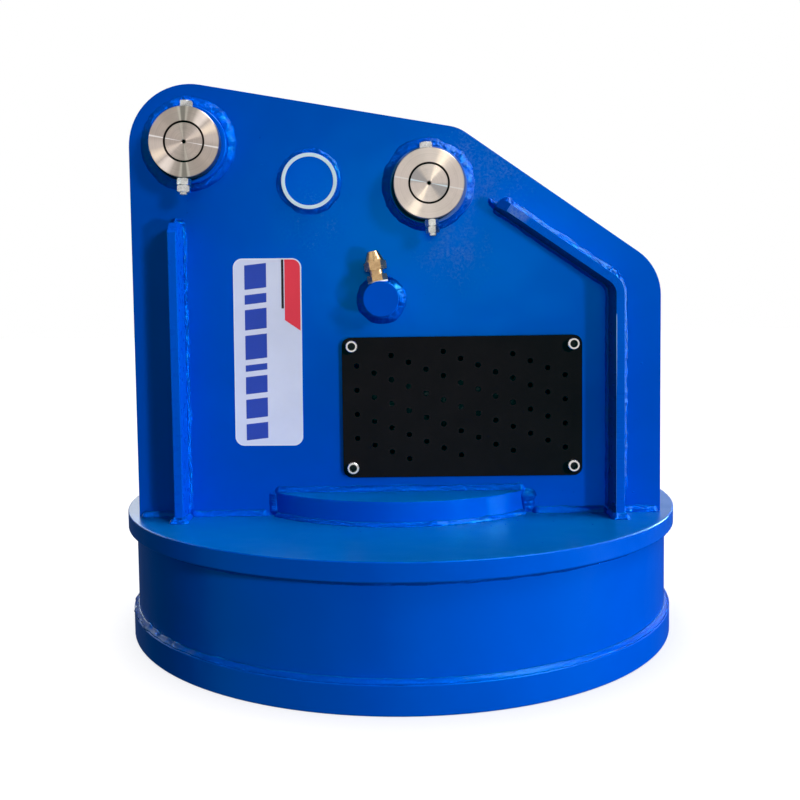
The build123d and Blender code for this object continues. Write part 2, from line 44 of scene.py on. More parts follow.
SHELL_R, RING_Z, PLATE_Z = 0.582, 0.054, 0.229
CH, GAP = 0.2295, 0.2045       # outer and inner face of each cheek
CX0, CX1 = -0.535, 0.5307
BARY, BART = 0.2975, 0.017
LB0, LB1, LBTOP, LBCUT = -0.4465, -0.4295, 0.858, 0.021
ARM, LINK = (-0.4115, 1.013), (0.064, 0.926)
BOSS_R, BOSS_OUT = 0.077, 0.2575
BADGE, BADGE_R = (-0.1732, 0.9402), 0.057
STUB, STUB_R = (-0.0325, 0.7022), 0.035


# ------------------------------------------------------------------ mesh helpers
def add_mesh(name, verts, faces, smooth=True, body="frame", mat=None):
    me = bpy.data.meshes.new(name)
    me.from_pydata([tuple(map(float, v)) for v in verts], [], [tuple(f) for f in faces])
    me.validate()
    bm = bmesh.new()
    bm.from_mesh(me)
    bmesh.ops.recalc_face_normals(bm, faces=bm.faces)
    bm.to_mesh(me)
    bm.free()
    me.polygons.foreach_set("use_smooth", [smooth] * len(me.polygons))
    ob = bpy.data.objects.new(name, me)
    bpy.context.scene.collection.objects.link(ob)
    if mat is not None:
        me.materials.append(mat)
    if body:
        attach(ob, body)
    return ob


def soft(n, width, rng, closed=True):
    """Smooth random numbers, about -2..2, that change over `width` samples."""
    k = np.fft.rfftfreq(n)
    g = np.exp(-2.0 * (np.pi * k * max(width, 0.3)) ** 2)
    g[0] = 0.0
    v = np.fft.irfft(np.fft.rfft(rng.standard_normal(n)) * g, n)
    s = v.std()
    return v / s if s > 1e-9 else v * 0.0


def soft2(n, m, wn, wm, rng):
    v = rng.standard_normal((n, m))
    kn = np.fft.fftfreq(n)[:, None]
    km = np.fft.rfftfreq(m)[None, :]
    g = np.exp(-2.0 * ((np.pi * kn * wn) ** 2 + (np.pi * km * wm) ** 2))
    g[0, 0] = 0.0
    w = np.fft.irfft2(np.fft.rfft2(v) * g, (n, m))
    return w / max(w.std(), 1e-9)


def path_len(P):
    d = np.linalg.norm(np.diff(P, axis=0), axis=1)
    return np.concatenate([[0.0], np.cumsum(d)])


WELDS = []


def bead(name, P, A, B, la, lb, closed=False, seed=1, convex=0.16, wob=0.10, ripple=0.00022, pitch=0.0036,
         lump=0.00035, lumps=(), mirror=True, m=9, sink=0.00035, curl=0.35, ends=(True, True), mat=None):
    """A fillet weld swept along the corner line P. A and B run along the two plates, la and lb are its legs."""
    rng = np.random.default_rng(seed)
    P, A, B = (np.asarray(q, float) for q in (P, A, B))
    n = len(P)
    A = A / np.linalg.norm(A, axis=1)[:, None]
    B = B / np.linalg.norm(B, axis=1)[:, None]
    la = np.broadcast_to(np.asarray(la, float), (n,)).copy()
    lb = np.broadcast_to(np.asarray(lb, float), (n,)).copy()
    mid = P + 0.5 * (A * la[:, None] + B * lb[:, None])
    s = path_len(mid)
    step = max(s[-1] / max(n - 1, 1), 1e-5)
    wa = 1.0 + wob * 0.6 * soft(n, 0.010 / step, rng) + wob * 0.45 * soft(n, 0.0035 / step, rng)
    wb = 1.0 + wob * 0.6 * soft(n, 0.010 / step, rng) + wob * 0.45 * soft(n, 0.0035 / step, rng)
    fat = 1.0 + wob * 0.8 * soft(n, 0.012 / step, rng)
    for at, size, width in lumps:
        q = size * np.exp(-0.5 * ((s - at * s[-1]) / width) ** 2)
        wa, wb, fat = wa + 0.35 * q, wb + 0.35 * q, fat + q
    if not closed:
        r = np.minimum(np.maximum(la, lb), s[-1] * 0.3)
        e0 = np.sqrt(np.clip(1 - (1 - np.clip(s / r, 0, 1)) ** 2, 0.02, 1)) if ends[0] else np.ones(n)
        e1 = np.sqrt(np.clip(1 - (1 - np.clip((s[-1] - s) / r, 0, 1)) ** 2, 0.02, 1)) if ends[1] else np.ones(n)
        wa, wb, fat = wa * e0 * e1, wb * e0 * e1, fat * e0 * e1
    la, lb = la * wa, lb * wb
    t = np.linspace(0.0, 1.0, m)
    bend = curl * (4.0 * (t - 0.5) ** 2)
    ph = (s[:, None] / pitch + bend[None, :] * 1.6 + 0.25 * soft(n, 0.02 / step, rng)[:, None])
    rip = ripple * (np.abs(np.sin(np.pi * ph)) - 0.6)
    dep = np.sin(np.pi * t)[None, :] ** 0.75
    nub = lump * soft2(n, m, 0.0022 / step, 1.1, rng)
    nrm = A + B
    nrm /= np.linalg.norm(nrm, axis=1)[:, None]
    leg = np.sqrt(la * lb)
    out = (convex * leg * fat)[:, None] * np.sin(np.pi * t)[None, :] ** 0.8 + (rip + nub) * dep
    ca, cb = (1 - t)[None, :] * la[:, None], t[None, :] * lb[:, None]
    pts = (P[:, None, :] + ca[..., None] * A[:, None, :] + cb[..., None] * B[:, None, :] + out[..., None] * nrm[:, None, :])
    pts[:, 0] -= B * sink
    pts[:, -1] -= A * sink
    back = (P - sink * (A + B))[:, None, :]
    ring = np.concatenate([pts, back], axis=1)
    k = m + 1
    V = ring.reshape(-1, 3)
    F = []
    last = n if closed else n - 1
    for i in range(last):
        j = (i + 1) % n
        for c in range(k):
            d = (c + 1) % k
            F.append((i * k + c, j * k + c, j * k + d, i * k + d))
    if not closed:
        F.append(tuple(range(k))[::-1])
        F.append(tuple((n - 1) * k + c for c in range(k)))
    WELDS.append((name, V, F))
    if mirror:
        W = V.copy()
        W[:, 1] *= -1
        WELDS.append((name + "_rear", W, F))
    return V, F


def seg(p, q, step=0.0016):
    p, q = np.asarray(p, float), np.asarray(q, float)
    n = max(int(np.linalg.norm(q - p) / step), 6)
    return p + (q - p) * np.linspace(0, 1, n)[:, None]


def arc_z(r, a0, a1, z, step=0.0016):
    n = max(int(abs(math.radians(a1 - a0)) * r / step), 8)
    a = np.radians(np.linspace(a0, a1, n))
    return np.c_[r * np.cos(a), r * np.sin(a), np.full(n, z)], np.c_[np.cos(a), np.sin(a), 0 * a]


def ring_z(r, z, step=0.0018):
    n = int(2 * math.pi * r / step)
    a = 2 * math.pi * np.arange(n) / n
    return np.c_[r * np.cos(a), r * np.sin(a), np.full(n, z)], np.c_[np.cos(a), np.sin(a), 0 * a], a


def ring_y(cx, cz, r, y, step=0.0014):
    n = int(2 * math.pi * r / step)
    a = 2 * math.pi * np.arange(n) / n
    return np.c_[cx + r * np.cos(a), np.full(n, y), cz + r * np.sin(a)], np.c_[np.cos(a), 0 * a, np.sin(a)], a


def outline(points, closed=False, step=0.0015, fan=7):
    """Points and outward normals along a 2-D outline; corners turn in a fan. points: (x, z, radius or 0)."""
    pts = [np.array(p[:2], float) for p in points]
    out_p, out_n = [], []

    def normal(a, b):
        d = (b - a) / np.linalg.norm(b - a)
        return np.array([-d[1], d[0]])

    cur = pts[0]
    for i in range(1, len(pts)):
        a, b = cur, pts[i]
        nrm = normal(a, b)
        rad = points[i][2] if len(points[i]) > 2 else 0.0
        if i < len(pts) - 1:
            nn = normal(b, pts[i + 1])
            ang = math.acos(max(-1, min(1, float(nrm @ nn))))
            cut = rad * math.tan(ang / 2)
            d = (b - a) / np.linalg.norm(b - a)
            e = b - d * cut
            k = max(int(np.linalg.norm(e - a) / step), 2)
            for t in np.linspace(0, 1, k, endpoint=False):
                out_p.append(a + (e - a) * t)
                out_n.append(nrm)
            turn = nrm[0] * nn[1] - nrm[1] * nn[0]
            c = e + (-nrm if turn < 0 else nrm) * rad
            q = max(int(ang * max(rad, 0.012) / step), fan if ang > 0.3 else 3)
            for t in np.linspace(0, 1, q):
                th = math.copysign(ang * t, turn)
                v = np.array([nrm[0] * math.cos(th) - nrm[1] * math.sin(th), nrm[0] * math.sin(th) + nrm[1] * math.cos(th)])
                out_p.append(c + (v if turn < 0 else -v) * rad)
                out_n.append(v)
            f = (pts[i + 1] - b) / np.linalg.norm(pts[i + 1] - b)
            cur = b + f * cut
        else:
            k = max(int(np.linalg.norm(b - a) / step), 2)
            for t in np.linspace(0, 1, k):
                out_p.append(a + (b - a) * t)
                out_n.append(nrm)
    return np.array(out_p), np.array(out_n)


def on_cheek(p2, n2, y=-CH):
    n = len(p2)
    return (np.c_[p2[:, 0], np.full(n, y), p2[:, 1]], np.c_[n2[:, 0], np.zeros(n), n2[:, 1]],
            np.tile([0.0, -1.0, 0.0], (n, 1)))


def rep(v, n):
    return np.tile(np.asarray(v, float), (n, 1))


# ------------------------------------------------------------------ welds
def build_welds():
    # drum: shell to pole ring, shell to thick plate
    P, R, a = ring_z(SHELL_R, RING_Z)
    left = np.clip(-np.cos(a) * 1.6 - 0.55, 0, 1)
    rng = np.random.default_rng(5)
    rough = 1 + 0.16 * left * soft(len(P), 5, rng)
    bead("weld_shell_ring", P, R, rep((0, 0, 1), len(P)), 0.0095 * rough, 0.0085 * rough, closed=True, seed=11, convex=0.10,
         wob=0.035, ripple=0.0001, lump=0.00012, mirror=False, m=8)
    P, R, a = ring_z(SHELL_R, PLATE_Z, 0.003)
    bead("weld_shell_plate", P, R, rep((0, 0, -1), len(P)), 0.009, 0.009, closed=True, seed=12, convex=0.10, wob=0.05,
         ripple=0.0001, lump=0.00015, mirror=False, m=7)
    # raised disc on the thick plate
    half = math.degrees(math.asin(CH / DISC_R))
    P, R = arc_z(DISC_R, -180 + half + 1.0, -half - 1.0, TOP)
    t = np.linspace(0, 1, len(P))
    bead("weld_disc_foot", P, R, rep((0, 0, 1), len(P)), 0.0078 + 0.0012 * t, 0.0076 + 0.001 * t, seed=13, wob=0.09, ripple=0.0003,
         lump=0.00035, lumps=[(0.03, 0.4, 0.01), (0.62, 0.35, 0.008), (0.81, 0.4, 0.009), (0.97, 0.6, 0.012)])
    ih = math.degrees(math.asin(GAP / DISC_R))
    for nm, a0, a1 in (("right", -ih + 1, ih - 1), ("left", 180 - ih + 1, 180 + ih - 1)):
        P, R = arc_z(DISC_R, a0, a1, TOP, 0.003)
        bead("weld_disc_inside_" + nm, P, R, rep((0, 0, 1), len(P)), 0.008, 0.008, seed=14, mirror=False, m=7)
    # cheek on the disc
    P = seg((-0.2560, -CH, DISC), (0.2560, -CH, DISC))
    n = len(P)
    t = np.linspace(0, 1, n)
    bead("weld_cheek_disc", P, rep((0, -1, 0), n), rep((0, 0, 1), n), 0.0085 + 0.001 * t, 0.0105 + 0.0012 * t, seed=15, wob=0.08,
         ripple=0.00028, lump=0.0003, lumps=[(0.01, 0.3, 0.01), (0.55, 0.3, 0.009), (0.74, 0.35, 0.007), (0.98, 0.5, 0.012)])
    # ends of the disc, where it runs under the cheek
    ex = math.sqrt(DISC_R ** 2 - CH ** 2)
    for nm, s, la, lb, wob, lump, conv, seed in (("right", 1, 0.0185, 0.013, 0.20, 0.0011, 0.22, 16), ("left", -1, 0.0085, 0.0085, 0.10, 0.0004, 0.14, 17)):
        P = seg((s * ex, -CH, TOP + 0.001), (s * ex, -CH, DISC + 0.002), 0.0011)
        n = len(P)
        th = -math.radians(half) if s > 0 else math.pi + math.radians(half)
        tang = np.array([math.sin(th), -math.cos(th), 0.0]) * (1 if s > 0 else -1)
        bead("weld_disc_end_" + nm, P, rep((s, 0, 0), n), rep(tang, n), la, lb, seed=seed, wob=wob, lump=lump, convex=conv,
             ripple=0.0005, pitch=0.0050, m=13, lumps=[(0.12, 0.5, 0.006), (0.55, 0.35, 0.005), (0.9, 0.4, 0.005)])
    # foot of the cheek on the thick plate, outside and inside
    runs = [("a", CX0 + 0.004, LB0 - 0.001, 0.011, 0.011), ("b", LB1 + 0.001, -ex - 0.010, 0.0115, 0.0115),
            ("c", ex + 0.012, 0.4232, 0.012, 0.012), ("d", 0.4422, CX1 - 0.004, 0.012, 0.012)]
    for k, (nm, x0, x1, la, lb) in enumerate(runs):
        P = seg((x0, -CH, TOP), (x1, -CH, TOP))
        n = len(P)
        bead("weld_cheek_foot_" + nm, P, rep((0, -1, 0), n), rep((0, 0, 1), n), la, lb, seed=20 + k, wob=0.08, ripple=0.0003,
             lump=0.0003, lumps=[(0.05, 0.35, 0.008), (0.95, 0.35, 0.008)])
    for k, (x0, x1) in enumerate(((CX0 + 0.004, LB0 - 0.001), (LB1 + 0.001, -0.285), (0.285, 0.4232), (0.4422, CX1 - 0.004))):
        P = seg((x0, -GAP, TOP), (x1, -GAP, TOP), 0.0025)
        n = len(P)
        bead("weld_cheek_inside_%d" % k, P, rep((0, 1, 0), n), rep((0, 0, 1), n), 0.010, 0.010, seed=30 + k, m=7)
    P = seg((-0.275, -GAP, DISC), (0.275, -GAP, DISC), 0.0025)
    bead("weld_cheek_disc_inside", P, rep((0, 1, 0), len(P)), rep((0, 0, 1), len(P)), 0.009, 0.009, seed=35, m=7)
    # end plates between the cheeks
    for nm, x, s in (("left", LB0, -1), ("right", 0.4412, 1)):
        P = seg((x, -GAP + 0.011, TOP), (x, GAP - 0.011, TOP), 0.002)
        n = len(P)
        bead("weld_end_foot_" + nm, P, rep((s, 0, 0), n), rep((0, 0, 1), n), 0.010, 0.010, seed=40, mirror=False, m=8)
    P = seg((LB0, -GAP, TOP + 0.008), (LB0, -GAP, LBTOP - 0.004), 0.002)
    bead("weld_end_left", P, rep((-1, 0, 0), len(P)), rep((0, 1, 0), len(P)), 0.009, 0.009, seed=41, m=8)
    # right bar outline
    slope, rx, rz = -0.692, 0.3155, 0.7962
    ln = math.hypot(1, slope)
    nx, nz = -slope / ln, 1 / ln
    cin = (0.1947, rz + slope * (0.1947 - rx))
    cout = (cin[0] + BART * nx, cin[1] + BART * nz)
    zin = rz + slope * (0.4242 - rx)
    xo = 0.4412
    zo = cout[1] + slope * (xo - cout[0])
    p2, n2 = outline([(xo, TOP + 0.008), (xo, zo, 0.046), (cout[0], cout[1])])
    # outline() turns left of travel; the outer side needs the right
    n2 = -n2
    P = np.c_[p2[:, 0], np.full(len(p2), -GAP), p2[:, 1]]
    bead("weld_end_right", P, np.c_[n2[:, 0], 0 * n2[:, 0], n2[:, 1]], rep((0, 1, 0), len(P)), 0.009, 0.009, seed=42, m=8)
    # the bar itself, on the cheek: up the outer side, over its end, and down the inner side
    fwd = [(xo, TOP + 0.010), (xo, zo, 0.046), (cout[0], cout[1])]
    po, no = outline(fwd)
    no = -no
    n = len(po)
    s = path_len(po)
    u = s / s[-1]
    rise = np.clip((po[:, 1] - TOP) / 0.03, 0, 1)
    la = 0.0215 + 0.0015 * np.sin(5 * u)
    bead("weld_bar_right_outer", *on_cheek(po, no), la, 0.0115, seed=50, convex=0.10, wob=0.06, ripple=0.00035, lump=0.00035,
         m=15, pitch=0.0042, lumps=[(0.62, 0.3, 0.012), (0.985, 0.35, 0.010)])
    pe, ne = outline([(cout[0], cout[1]), (cin[0], cin[1])])
    bead("weld_bar_right_end", *on_cheek(pe + (ne * -0.0), -ne), 0.0150, 0.0105, seed=51, convex=0.16, wob=0.16, lump=0.0008, m=11,
         lumps=[(0.1, 0.5, 0.006), (0.9, 0.5, 0.006)])
    pi_, ni = outline([(0.4242, TOP + 0.010), (0.4242, zin, 0.029), (cin[0], cin[1])])
    bead("weld_bar_right_inner", *on_cheek(pi_, ni), 0.0058, 0.006, seed=52, convex=0.12, wob=0.12, ripple=0.0002, lump=0.0002,
         lumps=[(0.985, 0.9, 0.008)])
    # left bar
    p2, n2 = outline([(LB0, TOP + 0.010), (LB0, LBTOP), (LB1, LBTOP), (LB1, TOP + 0.010)], fan=9)
    s = path_len(p2)
    side = np.where(p2[:, 0] < LB0 + 1e-4, 0.0095, np.where(p2[:, 0] > LB1 - 1e-4, 0.0068, 0.0150))
    k = np.hanning(31)
    k /= k.sum()
    side = np.convolve(np.pad(side, 15, mode="edge"), k, mode="valid")
    end = s[-1]
    bead("weld_bar_left", *on_cheek(p2, n2), side, side * 0.95 + 0.001, seed=53, convex=0.18, wob=0.16, ripple=0.0004, lump=0.00055, pitch=0.0045,
         lumps=[(0.50, 0.5, 0.008), (0.545, 0.5, 0.007), (0.60, 0.35, 0.006), (0.68, 0.4, 0.007), (0.83, 0.3, 0.006)])
    # feet of both bars on the thick plate
    for nm, x0, x1, seed in (("left", LB0, LB1, 60), ("right", 0.4242, 0.4412, 61)):
        p2, n2 = outline([(x0, -CH - 0.004), (x0, -BARY), (x1, -BARY), (x1, -CH - 0.004)], fan=11)
        n2 = -n2
        n = len(p2)
        P = np.c_[p2, np.full(n, TOP)]
        front = np.clip((-CH - 0.030 - p2[:, 1]) / 0.03, 0, 1)
        bead("weld_bar_foot_" + nm, P, np.c_[n2, np.zeros(n)], rep((0, 0, 1), n), 0.0085 + 0.002 * front, 0.0095 + 0.002 * front, seed=seed,
             wob=0.10, lump=0.0004, ripple=0.0003, lumps=[(0.43, 0.3, 0.006), (0.57, 0.3, 0.006)])
    # bosses, outside and inside
    for nm, (cx, cz), (tx, tz), tr, seed in (("arm", ARM, (-0.4150, 1.0185), 0.0950, 70), ("link", LINK, (0.0638, 0.9310), 0.0925, 71)):
        P, R, a = ring_y(cx, cz, BOSS_R, -CH)
        ox, oz = tx - cx, tz - cz
        b = ox * np.cos(a) + oz * np.sin(a)
        leg = b + np.sqrt(np.clip(tr ** 2 - ox ** 2 - oz ** 2 + b ** 2, 0, None)) - BOSS_R
        bead("weld_boss_" + nm, P, R, rep((0, -1, 0), len(P)), leg, 0.012 + 0 * leg, closed=True, seed=seed, convex=0.14, wob=0.07,
             ripple=0.00042, lump=0.00050, pitch=0.0046, m=13, lumps=[(0.02, 0.5, 0.007), (0.07, 0.4, 0.008), (0.12, 0.4, 0.007), (0.955, 0.45, 0.008)])
        P, R, a = ring_y(cx, cz, BOSS_R, -GAP, 0.0025)
        bead("weld_boss_inside_" + nm, P, R, rep((0, 1, 0), len(P)), 0.010, 0.010, closed=True, seed=seed + 5, m=7)
    # badge and stub, front only
    P, R, a = ring_y(BADGE[0], BADGE[1], BADGE_R, -CH)
    bead("weld_badge", P, R, rep((0, -1, 0), len(P)), 0.0092, 0.0062, closed=True, seed=80, convex=0.12, wob=0.14, ripple=0.0003,
         lump=0.0004, mirror=False, m=8)
    P, R, a = ring_y(STUB[0], STUB[1], STUB_R, -CH, 0.0012)
    bead("weld_stub", P, R, rep((0, -1, 0), len(P)), 0.0150, 0.0120, closed=True, seed=81, convex=0.12, wob=0.08, ripple=0.0003,
         lump=0.00045, mirror=False, m=10)


build_welds()


# ------------------------------------------------------------------ small weld spatter on the plates
def build_spatter():
    rng = np.random.default_rng(91)
    V, F = [], []
    a = (1 + 5 ** 0.5) / 2
    ico = np.array([(-1, a, 0), (1, a, 0), (-1, -a, 0), (1, -a, 0), (0, -1, a), (0, 1, a), (0, -1, -a), (0, 1, -a),
                    (a, 0, -1), (a, 0, 1), (-a, 0, -1), (-a, 0, 1)], float)
    ico /= np.linalg.norm(ico, axis=1)[:, None]
    tri = [(0, 11, 5), (0, 5, 1), (0, 1, 7), (0, 7, 10), (0, 10, 11), (1, 5, 9), (5, 11, 4), (11, 10, 2), (10, 7, 6), (7, 1, 8),
           (3, 9, 4), (3, 4, 2), (3, 2, 6), (3, 6, 8), (3, 8, 9), (4, 9, 5), (2, 4, 11), (6, 2, 10), (8, 6, 7), (9, 8, 1)]
    # finer ball
    vv, cache, ff = [tuple(v) for v in ico], {}, []

    def mid(i, j):
        key = (min(i, j), max(i, j))
        if key not in cache:
            m = np.array(vv[i]) + np.array(vv[j])
            vv.append(tuple(m / np.linalg.norm(m)))
            cache[key] = len(vv) - 1
        return cache[key]

    for i, j, k in tri:
        p, q, r = mid(i, j), mid(j, k), mid(k, i)
        ff += [(i, p, r), (j, q, p), (k, r, q), (p, q, r)]
    ball = np.array(vv)
    spots = []
    for cx, cz, sx, sz, num in ((0.205, 0.905, 0.030, 0.022, 16), (-0.315, 1.035, 0.030, 0.035, 9), (-0.395, 0.86, 0.020, 0.035, 8),
                                (0.145, 0.945, 0.020, 0.045, 8), (-0.25, 0.93, 0.03, 0.03, 6), (0.47, 0.55, 0.012, 0.16, 7),
                                (0.02, 0.69, 0.030, 0.020, 4), (0.29, 0.30, 0.03, 0.012, 5), (-0.39, 0.45, 0.012, 0.12, 6)):
        for _ in range(num):
            x, z = rng.normal(cx, sx), rng.normal(cz, sz)
            if math.hypot(x - ARM[0], z - ARM[1]) < 0.100 or math.hypot(x - LINK[0], z - LINK[1]) < 0.098:
                continue
            if z > 1.05 - 0.692 * max(x - 0.1266, 0) - 0.02 or math.hypot(x - STUB[0], z - STUB[1]) < 0.055:
                continue
            if -0.458 < x < -0.418 and z < 0.88:
                continue
            spots.append((x, -CH, z, 1))
    for ang0, ang1, r0, r1, num in ((-150, -100, 0.36, 0.44, 9), (-80, -45, 0.36, 0.46, 10), (-70, -40, 0.50, 0.57, 4)):
        for _ in range(num):
            t, r = math.radians(rng.uniform(ang0, ang1)), rng.uniform(r0, r1)
            if r * math.sin(t) < -CH - 0.02:
                spots.append((r * math.cos(t), r * math.sin(t), TOP, 2))
    for x, y, z, kind in spots:
        r = rng.uniform(0.0006, 0.0015)
        sc = np.array([r * rng.uniform(0.8, 1.3), r * rng.uniform(0.8, 1.3), r * rng.uniform(0.8, 1.3)])
        sc[1 if kind == 1 else 2] *= 0.6
        o = len(V)
        V += list(ball * sc + np.array([x, y, z]))
        F += [tuple(o + i for i in f) for f in ff]
    return V, F


# ------------------------------------------------------------------ node materials
class Mat:
    def __init__(self, name):
        m = bpy.data.materials.new(name)
        m.use_nodes = True
        self.m, self.nt = m, m.node_tree
        self.nt.nodes.clear()
        self.out = self.nt.nodes.new("ShaderNodeOutputMaterial")
        self.b = self.nt.nodes.new("ShaderNodeBsdfPrincipled")
        self.nt.links.new(self.b.outputs[0], self.out.inputs[0])
        self.geo = None
        self.co = None

    def node(self, kind, **kw):
        n = self.nt.nodes.new("ShaderNode" + kind)
        for k, v in kw.items():
            setattr(n, k, v)
        return n

    def link(self, a, b):
        self.nt.links.new(a, b)

    def set(self, **kw):
        for k, v in kw.items():
            s = self.b.inputs[k.replace("_", " ")]
            if isinstance(v, tuple) and len(v) == 3:
                v = v + (1.0,)
            s.default_value = v

    def coord(self):
        if self.co is None:
            self.co = self.node("TexCoord").outputs["Object"]
        return self.co

    def mapped(self, scale=(1, 1, 1), loc=(0, 0, 0), rot=(0, 0, 0)):
        n = self.node("Mapping")
        self.link(self.coord(), n.inputs["Vector"])
        n.inputs["Scale"].default_value = scale
        n.inputs["Location"].default_value = loc
        n.inputs["Rotation"].default_value = rot
        return n.outputs[0]

    def noise(self, scale, detail=2.0, rough=0.5, vec=None, dist=0.0):
        n = self.node("TexNoise")
        n.inputs["Scale"].default_value = scale
        n.inputs["Detail"].default_value = detail
        n.inputs["Roughness"].default_value = rough
        n.inputs["Distortion"].default_value = dist
        self.link(vec if vec is not None else self.coord(), n.inputs["Vector"])
        return n.outputs[0]

    def math(self, op, a, b=None, c=None, clamp=False):
        n = self.node("Math", operation=op, use_clamp=clamp)
        for i, v in enumerate((a, b, c)):
            if v is None:
                continue
            if isinstance(v, (int, float)):
                n.inputs[i].default_value = v
            else:
                self.link(v, n.inputs[i])
        return n.outputs[0]

    def span(self, v, a, b, c=0.0, d=1.0, smooth=False):
        n = self.node("MapRange", clamp=True, interpolation_type="SMOOTHSTEP" if smooth else "LINEAR")
        self.link(v, n.inputs[0])
        for i, q in enumerate((a, b, c, d)):
            n.inputs[1 + i].default_value = q
        return n.outputs[0]

    def ramp(self, v, stops):
        n = self.node("ValToRGB")
        r = n.color_ramp
        while len(r.elements) < len(stops):
            r.elements.new(0.5)
        for e, (p, c) in zip(r.elements, stops):
            e.position = p
            e.color = tuple(c) + (1.0,)
        self.link(v, n.inputs[0])
        return n.outputs[0]

    def mix(self, fac, a, b, blend="MIX"):
        n = self.node("Mix", data_type="RGBA", blend_type=blend)
        for s, v in ((n.inputs[0], fac), (n.inputs[6], a), (n.inputs[7], b)):
            if isinstance(v, (int, float)):
                s.default_value = v
            elif isinstance(v, tuple):
                s.default_value = v if len(v) == 4 else v + (1.0,)
            else:
                self.link(v, s)
        return n.outputs[2]

    def xyz(self, vec=None):
        n = self.node("SeparateXYZ")
        self.link(vec if vec is not None else self.coord(), n.inputs[0])
        return n.outputs

    def normal_xyz(self):
        if self.geo is None:
            self.geo = self.node("NewGeometry")
        return self.xyz(self.geo.outputs["Normal"])

    def blob(self, p, r0, r1):
        """1 within r0 of point p, 0 beyond r1."""
        n = self.node("VectorMath", operation="DISTANCE")
        self.link(self.coord(), n.inputs[0])
        n.inputs[1].default_value = p
        return self.span(n.outputs["Value"], r0, r1, 1.0, 0.0, smooth=True)

    def bump(self, height, dist, strength=1.0, normal=None):
        n = self.node("Bump")
        n.inputs["Strength"].default_value = strength
        n.inputs["Distance"].default_value = dist
        self.link(height, n.inputs["Height"])
        if normal is not None:
            self.link(normal, n.inputs["Normal"])
        return n.outputs[0]

    def finish(self, color=None, rough=None, normal=None):
        if color is not None:
            self.link(color, self.b.inputs["Base Color"])
        if rough is not None:
            self.link(rough, self.b.inputs["Roughness"])
        if normal is not None:
            self.link(normal, self.b.inputs["Normal"])
        return self.m


END_Y = CH + 0.0575


